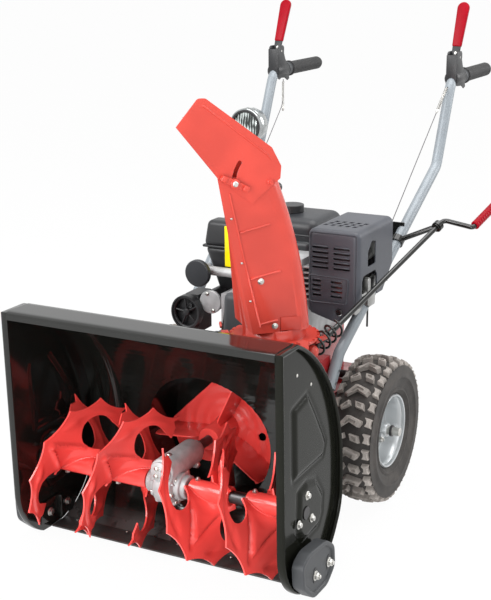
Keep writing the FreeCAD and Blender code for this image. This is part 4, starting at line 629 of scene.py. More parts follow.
def fade(value, inner, outer):  # 1 up to inner, 0 past outer
    share = min(1, max(0, (abs(value) - inner) / (outer - inner)))
    return 1 - share * share * (3 - 2 * share)


augerLook = {"centre": (118, 160), "tip": 145, "root": 130, "hub": 20, "hubLength": 90, "pitch": 210, "wall": 3.5,
             "half": 98, "teeth": 6, "leftMiddle": 142, "rightMiddle": 225, "units": (95, 223), "beadHeight": 5.5}


def flightEdge():  # one flight's outline round the shaft, drawn with its middle at angle 0: angle and radius
    look = augerLook
    half, tip, root = look["half"], look["tip"], look["root"]
    headIn, ribbonIn, neck, hub = tip - 50, tip - 42, 46, look["hub"]

    def on(radius, degrees):
        return radius * cos(radians(degrees)), radius * sin(radians(degrees))

    step = 2 * half / look["teeth"]
    outer = [(-half, headIn), (-half, headIn + 24), (-half + 5, headIn + 32), (-half + 1, tip - 3)]
    for k in range(look["teeth"]):  # pointed teeth with hollows between them
        outer += [(-half + (k + share / 8) * step, tip - (tip - root) * sin(pi * share / 8) ** 0.75)
                  for share in range(8)]
    outer += [(half - 1, tip - 3), (half - 5, headIn + 32), (half, headIn + 24), (half, headIn)]
    inner = traced([
        on(headIn, half), on(headIn + 4, half - 12), (on(ribbonIn + 6, 62), on(ribbonIn - 6, 44)),
        (on(neck + 12, 38), on(neck - 8, 74)), on(hub - 3, 80), (on(hub - 3, 0), on(hub - 3, -80)),
        on(neck - 8, -74), (on(neck + 12, -38), on(ribbonIn - 6, -44)),
        (on(ribbonIn + 6, -62), on(headIn + 4, -half + 12)),
    ])
    return outer + [(math.degrees(atan2(b, a)), hypot(a, b)) for a, b in inner[1:]]


def flightPress(angle, radius):  # how far the sheet is pressed up: a bead along the ribbon and hollows on the web
    lateral = angle * radius / 57.3
    arms = 31 * (1 - (radius - 44) / 76)
    fold = hill(abs(lateral) - max(0, arms), 7.5) * fade(radius - 84, 34, 44)
    valley = fade(lateral, max(0, arms) * 0.4, max(2, arms)) * fade(radius - 76, 24, 42)
    drop = hill(hypot(abs(lateral) - 62, (radius - 112) * 1.5), 22)
    bead = hill(radius - 118, 8) * (1 - fade(lateral, 36, 48)) * fade(angle, 74, 92)
    return augerLook["beadHeight"] * (fold - 0.6 * valley + 0.7 * drop + 0.5 * bead)


def flightShape(middle, hand):
    look = augerLook
    back, up = look["centre"]

    def place(across, radius):
        angle = across / 100 * 57.2958
        turn = radians(middle + angle)
        way = hand * look["pitch"] * angle / 360 - hand * flightPress(angle, radius)
        return way, back + radius * cos(turn), up + radius * sin(turn)

    outline = [(angle / 57.2958 * 100, radius) for angle, radius in flightEdge()]
    return sheetOf([outline], (5, 5), place, look["wall"])


def weldShape(middle, hand, offset):  # a weld bead where the flight meets its hub
    look = augerLook
    back, up = look["centre"]
    line, sizes = [], []
    for k in range(61):
        angle = -78 + 156 * k / 60
        turn = radians(middle + angle)
        line.append((hand * look["pitch"] * angle / 360 + offset, back + 20.6 * cos(turn),
                     up + 20.6 * sin(turn)))
        sizes.append(2.0 + 0.5 * sin(k * 2.1))
    return tube(line, sizes, 8)


def augerUnit(name, sign, across, middle):
    look = augerLook
    back, up = look["centre"]
    half = look["hubLength"] / 2
    hub = ringLathe([(13, -half), (look["hub"] - 1, -half), (look["hub"], -half + 1), (look["hub"], half - 1),
                     (look["hub"] - 1, half), (13, half)], (0, back, up), (1, 0, 0), 48)
    for turn in (middle, middle + 180):
        absorb(hub, flightShape(turn, sign), weldShape(turn, sign, 3.4), weldShape(turn, sign, -3.4))
    moved(hub, Matrix.Translation((sign * across, 0, 0)))
    # the flights take the lighter red, painted light inside the housing
    piece(name + "Unit", hub, "augerRed", [name], body="auger", sharp=40)


for side, sign, middle in (("left", -1, augerLook["leftMiddle"]), ("right", 1, augerLook["rightMiddle"])):
    for place, across in zip(("inner", "outer"), augerLook["units"]):
        augerUnit("flight_" + side + "_" + place, sign, across, middle)
print("augers ready")


impellerLook = {"up": 197, "face": 364, "wall": 3, "radius": 140.5, "front": 278, "blades": (-35, 65, 185, 275),
                "arc": (-62, 220), "chord": (134.4, 95), "holes": ((84, 187, 9), (-36, 143, 8)),
                "rings": ((52, 9), (78, 10), (104, 9))}


def impellerPress(across, up):
    look = impellerLook
    radius = hypot(across, up - look["up"])
    angle = math.degrees(atan2(up - look["up"], across))
    height = 0
    for ring, half in look["rings"]:
        height += hill(radius - ring, half) * 3.0
    chevron = abs(angle + 30) * 0.9  # rings bend outwards into a point on the lower right
    if -62 < angle < 2:
        height = (hill(radius - 118 + chevron * 0.8, 9) + hill(radius - 92 + chevron * 0.8, 9)) * 3.4
    return height + 5 * fade(radius, 34, 50)


def impellerPlate():  # one plate round the hub, cut straight at the upper left and open at the bottom
    look = impellerLook
    towards, away = radians(look["chord"][0]), look["chord"][1]
    outline = []
    for k in range(101):
        angle = radians(look["arc"][0] + (look["arc"][1] - look["arc"][0]) * k / 100)
        radius = min(look["radius"], away / max(0.01, cos(angle - towards)))
        outline.append((radius * cos(angle), look["up"] + radius * sin(angle)))
    outline.append((-8, look["up"] - 90))
    for k in range(25):
        angle = radians(265 - (265 + 62) * k / 24)
        outline.append((20 * cos(angle), look["up"] + 20 * sin(angle)))
    loops = [outline] + [circle(across, up, radius, 24) for across, up, radius in look["holes"]]
    return sheetOf(loops, (5, 5), lambda a, b: (a, look["face"] - impellerPress(a, b), b), look["wall"])


def impellerBlade(angle):  # a blade square to the plate, its outer front corner cut back and its edges rounded
    look = impellerLook
    low, high, front, back = 20, look["radius"] - 1, look["front"], look["face"] + 3
    outline = [(low, front + 34), (low + 22, front + 4), (low + 34, front), (high - 14, front), (high - 3, front + 4),
               (high, front + 16), (high, back), (low, back)]
    shape = softened(prism(outline, -1.6, 1.6, "XY"), 0.7, 2)
    turn = Matrix.Translation((0, 0, look["up"])) @ Matrix.Rotation(-radians(angle), 4, "Y")
    return moved(shape, turn)


def makeImpeller():
    look = impellerLook
    shape = ringLathe([(10.1, 276), (24, 276), (26, 279), (26, 340), (30, 356), (30, 366), (10.1, 366)],
                      (0, 0, look["up"]), (0, 1, 0), 48)
    absorb(shape, impellerPlate())
    for angle in look["blades"]:
        absorb(shape, impellerBlade(angle))
    # the impeller takes the lighter red, painted light inside the housing
    piece("impellerWheel", shape, "augerRed", ["impeller"], body="impeller_body")


makeImpeller()
print("impeller ready")


def newTree(name, entries):  # an empty geometry tree with named inputs; each entry is its socket's kind and value
    tree = bpy.data.node_groups.new(name, "GeometryNodeTree")
    tree.interface.new_socket("Geometry", in_out="INPUT", socket_type="NodeSocketGeometry")
    for label, (kind, value) in {**entries, "Material": ("NodeSocketMaterial", None)}.items():
        socket = tree.interface.new_socket(label, in_out="INPUT", socket_type=kind)
        if value is not None:
            socket.default_value = value
    tree.interface.new_socket("Geometry", in_out="OUTPUT", socket_type="NodeSocketGeometry")
    graph = Graph(tree)
    return tree, graph, graph.node("NodeGroupInput")


def closeTree(graph, entry, geometry):
    real = graph.node("GeometryNodeRealizeInstances", None, {"Geometry": geometry})
    coated = graph.node("GeometryNodeSetMaterial", None, {"Geometry": real, "Material": entry.other("Material")})
    graph.node("NodeGroupOutput", None, {"Geometry": coated})


def copiesTree():  # copies of one shape, each turned and shifted by one more step than the last
    tree, graph, entry = newTree("copiesInSteps", {
        "Count": ("NodeSocketInt", 6), "First": ("NodeSocketFloat", 0), "Step": ("NodeSocketFloat", 0.5),
        "Pivot": ("NodeSocketVector", None), "Axis": ("NodeSocketVector", None),
        "Shift": ("NodeSocketVector", None),
    })
    whole = graph.node("GeometryNodeGeometryToInstance", None, {"Geometry": entry})
    many = graph.node("GeometryNodeDuplicateElements", {"domain": "INSTANCE"},
                      {"Geometry": whole, "Amount": entry.other("Count")})
    number = many.other("Duplicate Index")
    angle = number * entry.other("Step") + entry.other("First")
    turn = graph.node("FunctionNodeAxisAngleToRotation", None, {"Axis": entry.other("Axis"), "Angle": angle})
    turned = graph.node("GeometryNodeRotateInstances", None, {
        "Instances": many, "Rotation": turn, "Pivot Point": entry.other("Pivot"), "Local Space": False})
    shift = graph.node("ShaderNodeVectorMath", {"operation": "SCALE"}, {0: entry.other("Shift"), "Scale": number})
    closeTree(graph, entry, graph.node("GeometryNodeTranslateInstances", None, {
        "Instances": turned, "Translation": shift, "Local Space": False}))
    return tree


def seatedTree():  # one head set on every point of a mesh, standing along the point's own direction
    tree, graph, entry = newTree("headsOnSeats", {"Head": ("NodeSocketObject", None)})
    head = graph.node("GeometryNodeObjectInfo", {"transform_space": "ORIGINAL"}, {"Object": entry.other("Head")},
                      "Geometry")
    way = graph.node("GeometryNodeInputNamedAttribute", {"data_type": "FLOAT_VECTOR"}, {"Name": "way"})
    turn = graph.node("FunctionNodeAlignRotationToVector", {"axis": "Z"}, {"Vector": way})
    closeTree(graph, entry, graph.node("GeometryNodeInstanceOnPoints", None, {
        "Points": entry, "Instance": head, "Rotation": turn}))
    return tree


def coilTree():  # a round wire wound along Z, then turned and set in place
    tree, graph, entry = newTree("woundWire", {
        "Turns": ("NodeSocketFloat", 8), "Radius": ("NodeSocketFloat", 0.01), "Length": ("NodeSocketFloat", 0.1),
        "Wire": ("NodeSocketFloat", 0.001), "Place": ("NodeSocketVector", None),
        "Rotation": ("NodeSocketRotation", None), "Steps": ("NodeSocketInt", 24),
    })
    spiral = graph.node("GeometryNodeCurveSpiral", None, {
        "Resolution": entry.other("Steps"), "Rotations": entry.other("Turns"),
        "Start Radius": entry.other("Radius"), "End Radius": entry.other("Radius"), "Height": entry.other("Length")})
    profile = graph.node("GeometryNodeCurvePrimitiveCircle", None, {"Resolution": 8, "Radius": entry.other("Wire")})
    wire = graph.node("GeometryNodeCurveToMesh", None, {
        "Curve": spiral, "Profile Curve": profile.other("Curve"), "Fill Caps": True})
    closeTree(graph, entry, graph.node("GeometryNodeTransform", None, {
        "Geometry": wire, "Translation": entry.other("Place"), "Rotation": entry.other("Rotation")}))
    return tree


copiesInSteps, headsOnSeats, woundWire = copiesTree(), seatedTree(), coilTree()


def grown(name, mesh, tree, values, finish):  # what a tree makes of a mesh, as a plain mesh in a new object
    made = bpy.data.objects.new(name, mesh)
    scene.collection.objects.link(made)
    modifier = made.modifiers.new("tree", "NODES")
    modifier.node_group = tree
    keys = {item.name: item.identifier for item in tree.interface.items_tree if item.in_out == "INPUT"}
    for label, value in {**values, "Material": finishes[finish]}.items():
        modifier[keys[label]] = value
    graph = bpy.context.evaluated_depsgraph_get()
    result = bpy.data.meshes.new_from_object(made.evaluated_get(graph), depsgraph=graph)
    result.name = name
    made.modifiers.clear()
    made.data = result
    return made


def copies(name, shape, finish, body, slot, count, step=0, pivot=(0, 0, 0), axis=(1, 0, 0), shift=(0, 0, 0),
           first=0, standsFor=(), sharp=35):
    made = grown(name, meshOf(shape, name + "Seed"), copiesInSteps, {
        "Count": count, "First": radians(first), "Step": radians(step), "Pivot": at(*pivot),
        "Axis": Vector(axis), "Shift": Vector(shift) / 1000}, finish)
    return finishPiece(made, finish, body, slot, standsFor, 0, sharp)


def seated(name, head, seats, standsFor=(), finish="zincSteel", body="machine"):  # seats are (place, way) pairs
    for vert in head.verts:
        vert.co /= 1000
    mesh = bpy.data.meshes.new(name + "Head")
    head.to_mesh(mesh)
    head.free()
    holder = bpy.data.objects.new(name + "Head", mesh)
    scene.collection.objects.link(holder)
    points = bpy.data.meshes.new(name + "Seats")
    points.from_pydata([at(*place) for place, way in seats], [], [])
    ways = points.attributes.new("way", "FLOAT_VECTOR", "POINT")
    ways.data.foreach_set("vector", [part for place, way in seats for part in Vector(way).normalized()])
    made = grown(name, points, headsOnSeats, {"Head": holder}, finish)
    bpy.data.objects.remove(holder)
    return finishPiece(made, finish, body, usualSlot[finish], standsFor)


def wound(name, start, way, turns, radius, length, wire, finish, body, slot, steps=24):
    first, second, way = axesOn(way)
    turn = Matrix((first, second, way)).transposed().to_quaternion()
    made = grown(name, bpy.data.meshes.new(name), woundWire, {
        "Turns": turns, "Radius": radius / 1000, "Length": length / 1000, "Wire": wire / 1000,
        "Place": at(*start), "Rotation": turn.to_euler(), "Steps": steps}, finish)
    return finishPiece(made, finish, body, slot, (), 0, 60)


def hexHead(across, high, washer=0, washerHigh=1.5):  # a bolt head with a chamfered crown, on its washer
    corner = across / sqrt(3)
    shape = bmesh.new()
    rings = []
    for level, size in ((0, 1), (high * 0.8, 1), (high, 0.86)):
        rings.append([shape.verts.new((corner * size * cos(pi / 3 * k),
                                 corner * size * sin(pi / 3 * k), level + washerHigh * (washer > 0)))
                for k in range(6)])
    skinned(shape, rings)
    shape.faces.new(rings[-1])
    shape.faces.new(reversed(rings[0]))
    if washer:
        absorb(shape, lathe([(0, 0), (washer, 0), (washer, washerHigh * 0.7), (washer - 0.6, washerHigh),
                             (0, washerHigh)], (0, 0, 0), (0, 0, 1), 28))
    return shape


def nutOnStud(across, high, stud, washer):  # a nut on its washer with the stud's end standing out
    shape = hexHead(across, high, washer)
    return absorb(shape, lathe([(0, high), (stud, high), (stud, high + 4), (stud - 0.8, high + 5), (0, high + 5)],
                               (0, 0, 0), (0, 0, 1), 20))


def domeHead(radius, high, washer=0):  # a round rivet or bolt head
    profile = [(washer, 0), (washer, 0.8), (radius, 1)] if washer else [(radius, 0)]
    profile += [(radius * cos(radians(a)), (1 if washer else 0) + high * sin(radians(a)))
                for a in (15, 35, 55, 75)]
    return lathe([(0, 0)] + profile + [(0, high + (1 if washer else 0))], (0, 0, 0), (0, 0, 1), 20)


housingLook = {"half": 294, "wall": 3, "rim": 16, "top": 510, "topDeep": 68, "lip": 13, "radius": 152, "knee": 195,
               "centre": (118, 160), "opening": 148, "fanUp": 197, "beads": (-240, 240), "beadHigh": 5,
               "beadHalf": 20}


def drumLine(grow):  # the drum's cross-section from the lip over the top and down its back: back and up
    look = housingLook
    back, up = look["centre"]
    deep, tall = back + look["radius"] - look["topDeep"], look["top"] - look["wall"] - look["knee"]
    bow = (deep * deep + tall * tall) / (2 * deep)
    middle = back + look["radius"] - bow
    top = look["top"] - look["wall"] + grow
    reach = asin(min(1, (top - look["knee"]) / (bow + grow)))
    line = [onCircle(look["centre"], look["radius"] + grow, a) for a in range(-80, 1, 5)]
    line += [(back + look["radius"] + grow, up + 35 * k / 3) for k in (1, 2, 3)]
    line += [(middle + (bow + grow) * cos(reach * k / 24), look["knee"] + (bow + grow) * sin(reach * k / 24))
             for k in range(1, 25)]
    return line, top


def makeDrum():  # the drum is one sheet: its length is laid along the cross-section, the pressed beads stand inwards
    look = housingLook
    line, top = drumLine(look["wall"])
    line = [Vector((0, a, b)) for a, b in line]
    line += [Vector((0, 6, top)), Vector((0, 3, top - 0.5)), Vector((0, 0.9, top - 1.6)), Vector((0, 0, top - 4)),
             Vector((0, 0, top - look["lip"]))]
    lengths = [0]
    for before, after in zip(line, line[1:]):
        lengths.append(lengths[-1] + (after - before).length)
    half = look["half"] + 0.8
    curveStart, curveEnd = lengths[19], lengths[42]

    def place(across, along):
        k = max(n for n in range(len(lengths)) if lengths[n] <= along + 0.0001)
        k = min(k, len(line) - 2)
        share = (along - lengths[k]) / (lengths[k + 1] - lengths[k])
        before = (line[k] - line[max(0, k - 1)]).normalized() if k else (line[1] - line[0]).normalized()
        run = (line[k + 1] - line[k]).normalized()
        after = (line[min(k + 2, len(line) - 1)] - line[min(k + 1, len(line) - 2)]).normalized()
        blend = (before + run).normalized().lerp((run + after).normalized(), share).normalized()
        inward = Vector((0, -blend.z, blend.y))
        height = 0
        for bead in look["beads"]:
            reach = fade((along - (curveStart + curveEnd) / 2), (curveEnd - curveStart) / 2 - 30,
                         (curveEnd - curveStart) / 2 - 5)
            height += look["beadHigh"] * fade(across - bead, look["beadHalf"] - 7, look["beadHalf"]) * reach
        height += 2.0 * hill(along - curveEnd - 6, 7) * fade(across, half - 40, half - 20)  # a swage below the top
        point = line[k].lerp(line[k + 1], share) + inward * height
        return Vector((across, point.y, point.z))

    shape = bmesh.new()
    rows = sorted(set([round(value, 3) for value in lengths] +
                      [round(lengths[-1] * k / 90, 3) for k in range(91)]))
    columns = sorted(set([-half, half] + [-half + 2 * half * k / 48 for k in range(49)] +
                         [bead + side * offset for bead in look["beads"] for side in (-1, 1)
                          for offset in (12, 14, 16, 18, 20)]))
    grid = [[shape.verts.new(place(a, b)) for a in columns] for b in rows]
    for low, high in zip(grid, grid[1:]):
        for k in range(len(columns) - 1):
            shape.faces.new((low[k], low[k + 1], high[k + 1], high[k]))
    openingCut(shape, look["fanUp"], look["opening"])
    bmesh.ops.solidify(shape, geom=shape.faces[:], thickness=look["wall"])
    facingOut(shape)
    piece("drumSheet", shape, "drumPaint", ["auger_housing"], sharp=40)


def openingCut(shape, up, radius):  # the round hole to the fan: its edge follows the circle
    faces = [face for face in shape.faces
            if face.calc_center_median().y > 150 and hypot(face.calc_center_median().x,
                                                                face.calc_center_median().z - up) < radius]
    bmesh.ops.delete(shape, geom=faces, context="FACES")
    for vert in shape.verts:
        if vert.is_boundary and vert.co.y > 150 and vert.co.z > 30 and abs(vert.co.x) < radius + 20:
            distance = hypot(vert.co.x, vert.co.z - up)
            if distance < radius + 25:
                vert.co.x *= radius / distance
                vert.co.z = up + (vert.co.z - up) * radius / distance
    return shape


makeDrum()


def inside(point, corners):  # how far a point lies inside a polygon; negative outside
    a, b = point
    nearest, within = 1e9, False
    for (ax, ay), (bx, by) in zip(corners, corners[1:] + corners[:1]):
        run = (bx - ax, by - ay)
        share = max(0, min(1, ((a - ax) * run[0] + (b - ay) * run[1]) / (run[0] ** 2 + run[1] ** 2)))
        nearest = min(nearest, hypot(a - ax - run[0] * share, b - ay - run[1] * share))
        if (ay > b) != (by > b) and a < (bx - ax) * (b - ay) / (by - ay) + ax:
            within = not within
    return nearest if within else -nearest


def step(value, low, high):
    share = min(1, max(0, (value - low) / (high - low)))
    return share * share * (3 - 2 * share)


def rimAround(outline, profile, place):  # a profile of (inset, out) carried round a closed outline
    shape = bmesh.new()
    rings = []
    area = sum(a[0] * b[1] - b[0] * a[1] for a, b in zip(outline, outline[1:] + outline[:1]))
    hand = 1 if area > 0 else -1
    for before, corner, after in zip(outline[-1:] + outline[:-1], outline, outline[1:] + outline[:1]):
        into = Vector((corner[0] - before[0], corner[1] - before[1])).normalized()
        away = Vector((after[0] - corner[0], after[1] - corner[1])).normalized()
        normal = (Vector((-into.y, into.x)) + Vector((-away.y, away.x))).normalized() * hand
        stretch = 1 / max(0.5, normal.dot(Vector((-into.y, into.x)) * hand))
        rings.append([shape.verts.new(place(corner[0] + normal.x * inset * stretch,
                                      corner[1] + normal.y * inset * stretch, out))
                for inset, out in profile])
    skinned(shape, rings + rings[:1])
    facingOut(shape)
    return shape


plateLook = {
    "half": 294, "rim": 16, "wall": 3, "rise": 4,
    "upper": [(70, 380), (128, 392), (158, 352), (194, 298), (209, 271), (200, 250), (74, 246)],
    "lower": [(96, 208), (128, 214), (168, 204), (198, 164), (196, 128), (182, 110), (108, 104), (92, 130)],
    "shaftHole": 13.7, "boltHole": 3.1, "boltRing": 34, "boltAngles": (80, 200, 320),
    "skidBolts": ((98, 44), (160, 44)), "skidHole": 4.1, "dots": ((84, 447), (145, 411)),
}


def plateEdge(inset):  # the side plate's outline, back and up: it laps over the drum's edge
    look, drum = plateLook, housingLook
    back, up = drum["centre"]
    lap = look["wall"] + 2 - inset
    radius = drum["radius"] + lap - 3
    deep, tall = back + drum["radius"] - drum["topDeep"], drum["top"] - drum["wall"] - drum["knee"]
    bow = (deep * deep + tall * tall) / (2 * deep) + lap
    middle = back + drum["radius"] + lap - bow
    reach = asin((drum["top"] - drum["wall"] + lap - drum["knee"]) / bow)
    line = [(-2 + inset, drum["top"] + 2 - inset), (6 + inset, up - 50)]
    line += arc(line[-1], (26 + inset, up - 108 + inset / 2), (78, up - radius + 1), 14)
    line += [(back - 20, up - radius)]
    line += arc(line[-1], onCircle(drum["centre"], radius, -70), onCircle(drum["centre"], radius, -30), 16)
    line += arc(line[-1], (back + drum["radius"] + lap - 2, up - 30), (back + drum["radius"] + lap, up), 6)
    line += [(back + drum["radius"] + lap, drum["knee"])]
    line += [(middle + bow * cos(reach * k / 20), drum["knee"] + bow * sin(reach * k / 20))
             for k in range(1, 21)]
    return line


def platePress(a, b):  # panels stand out of the plate and a shallow groove runs round each
    look = plateLook
    height = 0
    for corners in (look["upper"], look["lower"]):
        deep = inside((a, b), corners)
        height += look["rise"] * step(deep, -4, 7) - 1.4 * hill(deep + 7, 6)
    return height


def makeSidePlate(side, sign):
    look, centre = plateLook, housingLook["centre"]
    holes = [circle(*centre, look["shaftHole"], 28)]
    holes += [circle(*onCircle(centre, look["boltRing"], a), look["boltHole"], 12) for a in look["boltAngles"]]
    holes += [circle(a, b, look["skidHole"], 12) for a, b in look["skidBolts"]]
    out = look["half"] + look["wall"] / 2
    shape = sheetOf([plateEdge(3)] + holes, (4, 4), lambda a, b: (sign * (out + platePress(a, b)), a, b),
                    look["wall"])
    rim = look["rim"]
    rolled = [(3.4, 0), (0.6, 0.4), (0, 3), (0, rim - 5), (0.8, rim - 1.6), (3, rim), (5.6, rim - 0.4),
              (7.4, rim - 2.4), (7.6, rim - 5), (6, rim - 7), (3.6, rim - 7), (3.2, 3)]
    absorb(shape, rimAround(plateEdge(0), rolled, lambda a, b, c: (sign * (look["half"] + c), a, b)))
    # the right plate takes the paler copy of the black paint, painted light
    finish = "rightPlatePaintedLight" if sign > 0 else "blackPaint"
    piece("sidePlate_" + side, shape, finish, ["side_plate_" + side], sharp=42)


skidLook = {"corners": [(88, 0), (150, 0), (187, 26), (183, 72), (146, 98), (70, 105), (36, 90), (40, 42)],
            "out": 310.3, "wall": 24, "recess": 4, "rim": 9}


def makeSkidShoe(side, sign):  # a thick moulded block: rounded all round, its outer face sunk inside a raised rim
    look = skidLook
    outline = []
    corners = look["corners"]
    for before, corner, after in zip(corners[-1:] + corners[:-1], corners, corners[1:] + corners[:1]):
        into, away = Vector(before) - Vector(corner), Vector(after) - Vector(corner)
        for k in range(7):
            t = k / 6
            first = Vector(corner) + into.normalized() * 13 * (1 - t)
            second = Vector(corner) + away.normalized() * 13 * t
            outline.append(tuple(first.lerp(second, t)))
    low, high = look["out"], look["out"] + look["wall"]
    shape = prism(outline, low, high, "YZ")
    top = [face for face in shape.faces if len(face.verts) > 8 and face.calc_center_median().x > high - 1]
    bmesh.ops.inset_region(shape, faces=top, thickness=look["rim"])
    bmesh.ops.inset_region(shape, faces=top, thickness=2, depth=-look["recess"])
    softened(shape, 3.2, 3, lambda edge: middleOf(edge).x > high - 1 and abs(wayOf(edge).x) < 0.1)
    sided(sign, shape)
    facingOut(shape)
    piece("skidShoe_" + side, shape, "greyPlastic", ["skid_shoe_" + side], slot="black_plastic", sharp=40)
    slots = bmesh.new()
    for a, b in plateLook["skidBolts"]:  # a dark pressed seat round each slot
        ring = [(a + 8 * cos(t), b + 8 * sin(t) + (8 if sin(t) > 0 else -8))
                for t in (2 * pi * k / 24 for k in range(24))]
        absorb(slots, prism(ring, high - look["recess"] - 0.4, high - look["recess"] + 0.8, "YZ"))
    sided(sign, slots)
    piece("skidSeats_" + side, slots, "blackPlastic")


for side, sign in (("left", -1), ("right", 1)):
    makeSidePlate(side, sign)
    makeSkidShoe(side, sign)


def makeScraper():  # the wear bar under the drum, with its long edges rounded over
    low, high = boxOf("scraper_bar")
    shape = block((low.x, low.y, low.z), (high.x, high.y, high.z), 1.2, 2)
    piece("scraperBar", shape, "wornBlack", ["scraper_bar"])


def makeBearings():
    back, up = housingLook["centre"]
    for side, sign in (("left", -1), ("right", 1)):
        inner = plateLook["half"]
        cup = lathe([(44, 0), (44, 5), (42, 8), (34, 11), (26, 12), (24, 14), (22, 15), (13, 15)],
                    (sign * inner, back, up), (-sign, 0, 0), 48)
        piece("bearingCup_" + side, cup, "blackPlastic", ["auger_bearings"] if sign < 0 else ())
    for side, sign in (("left", -1), ("right", 1)):  # the angle plates that the skid bolts pass through inside
        x = sign * (plateLook["half"] - 2.2)
        outline = [(66, 26), (176, 16), (200, 40), (196, 66), (150, 74), (74, 72)]
        shape = softened(prism(outline, x - 1.8, x + 1.8, "YZ"), 1.2, 2)
        web = x - sign * 12 - 0.1 * (sign < 0)
        absorb(shape, softened(prism([(126, 20), (130, 20), (130, 72), (126, 72)], web, x, "YZ"), 0.8, 2))
        piece("skidBacking_" + side, shape, "blackPaint")


def housingSeats():  # every bolt of the housing as (place, way), by kind
    look, centre = plateLook, housingLook["centre"]
    nuts, heads, flanged, rivets = [], [], [], []
    for sign in (-1, 1):
        way = (sign, 0, 0)
        for a, b in look["skidBolts"]:
            nuts.append(((sign * (skidLook["out"] + skidLook["wall"] - skidLook["recess"] + 0.8), a, b), way))
            heads.append(((sign * (look["half"] - 4), a, b), (-sign, 0, 0)))
        for degrees in look["boltAngles"]:
            flanged.append(((sign * (look["half"] + look["wall"] + look["rise"]),
                             *onCircle(centre, look["boltRing"], degrees)), way))
        for a, b in look["dots"]:
            rivets.append(((sign * (look["half"] + look["wall"]), a, b), way))
    for across in (-250, -125, 0, 125, 250):
        rivets.append(((across, 140, 14.6), (0, 0.12, 1)))
    return nuts, heads, flanged, rivets


makeScraper()
makeBearings()
nuts, heads, flanged, rivets = housingSeats()
seated("skidNuts", nutOnStud(13, 6.5, 4, 10), nuts, ["housing_fasteners"])
seated("skidBoltHeads", hexHead(13, 5, 9), heads)
seated("bearingBolts", hexHead(10, 5, 9), flanged)
seated("housingRivets", domeHead(2.6, 1.1, 3.4), rivets)
print("housing ready")


gearboxLook = {"half": 22, "caseUp": 197, "caseEnds": (84, 210), "ribs": 8, "flange": 43.5, "boltRing": 34.5,
               "boltAngles": (195, 240, 300, 345), "caseBolts": (16, 62, 104),
               "drum": [(13, 45.5), (22.5, 45.5), (24, 44), (24, 35), (28, 33.5), (29, 32), (29, 23), (35, 21.5),
                        (38.8, 19.5), (40.5, 16)]}


def makeGearbox():  # a cast worm case over a split drum: rounded corners, ribs, a parting flange and domed bolts
    look = gearboxLook
    back, up = augerLook["centre"]
    low, far = look["caseEnds"]
    shape = lathe([(r, -a) for r, a in look["drum"]] + look["drum"][::-1], (0, back, up), (1, 0, 0), 64)
    absorb(shape, lathe([(0, low - 7), (17, low - 7), (19.5, low - 5), (22, low - 4.5), (22, low), (25, low + 1),
                         (27, low + 4), (27, far - 5), (25, far - 1), (21, far), (19, far + 4), (19, far + 12),
                         (0, far + 12)], (0, 0, look["caseUp"]), (0, 1, 0), 56))
    flange = [onCircle((back, up), look["flange"], a) for a in range(150, 391, 8)]
    flange += [(far - 14, look["caseUp"] - 12), (low + 14, look["caseUp"] - 12)]
    absorb(shape, softened(prism(flange, -2.6, 2.6, "YZ"), 0.9, 2))
    for k in range(look["ribs"]):  # ribs fan from the bosses out to the drum
        angle = radians(22 + k * 360 / look["ribs"])
        for sign in (-1, 1):
            rib = block((27, -1.5, 21), (36.5, 1.5, 26), 1.1, 2)
            turn = Matrix.Translation((0, back, up)) @ Matrix.Rotation(radians(90) * sign, 4, "Y") \
                @ Matrix.Rotation(angle, 4, "Z")
            absorb(shape, moved(rib, turn))
    for sign in (-1, 1):  # the lugs that take the bolts
        for degrees in look["boltAngles"]:
            absorb(shape, lathe([(0, 0), (7, 0), (7, 4.2), (6, 5.2), (0, 5.2)],
                                (sign * 17, *onCircle((back, up), look["boltRing"], degrees)), (sign, 0, 0), 24))
        for along in look["caseBolts"]:
            absorb(shape, lathe([(0, 0), (7.5, 0), (7.5, 15), (6.3, 16.2), (0, 16.2)],
                                (sign * 8, low + along, look["caseUp"] - 19), (sign, 0, 0), 24))
    piece("gearboxCase", shape, "castAlloy", ["gearbox_case"], sharp=42)
    seats = []
    for sign in (-1, 1):
        seats += [((sign * look["half"], *onCircle((back, up), look["boltRing"], a)), (sign, 0, 0))
                  for a in look["boltAngles"]]
        seats += [((sign * 24, low + along, look["caseUp"] - 19), (sign, 0, 0)) for along in look["caseBolts"]]
    seats += [((11 * cos(a), low - 7, look["caseUp"] + 11 * sin(a)), (0, -1, 0))
              for a in (0.6, 2.2, 3.9, 5.4)]
    seats += [((0, low + 30, look["caseUp"] + 26.6), (0, 0, 1))]
    seated("gearboxBolts", domeHead(5, 3, 6.5), seats)


makeGearbox()
print("gearbox ready")


chuteLook = {"centre": (125, 336), "half": 63, "lines": (((-91, 665), (-29, 678)), ((-70, 570), (-8, 582)),
                                                     ((-51, 475), (-14, 481))),
        "bolts": ((-49, 564), (-20, 469)), "rivets": ((-88, 604), (-71, 525)), "dots": ((-70, 728), (-108, 694)),
        "hem": ((-50, 470), (-83, 612), (-111, 744)), "turn": 45, "inset": 46,
        "crown": 880, "fall": 0.756}


def onChute(s, out, up):  # along the throat's own direction, out through its near side, and up
    across, back = chuteLook["centre"]
    c = cos(radians(chuteLook["turn"]))
    return across + c * (s + out), back + c * (s - out), up


def acrossChute(spot):  # a place in the machine's frame as (along the throat, out of its near side)
    across, back = chuteLook["centre"]
    c = cos(radians(chuteLook["turn"]))
    a, b = spot.x - across, spot.y - back
    return c * (a + b), c * (a - b)


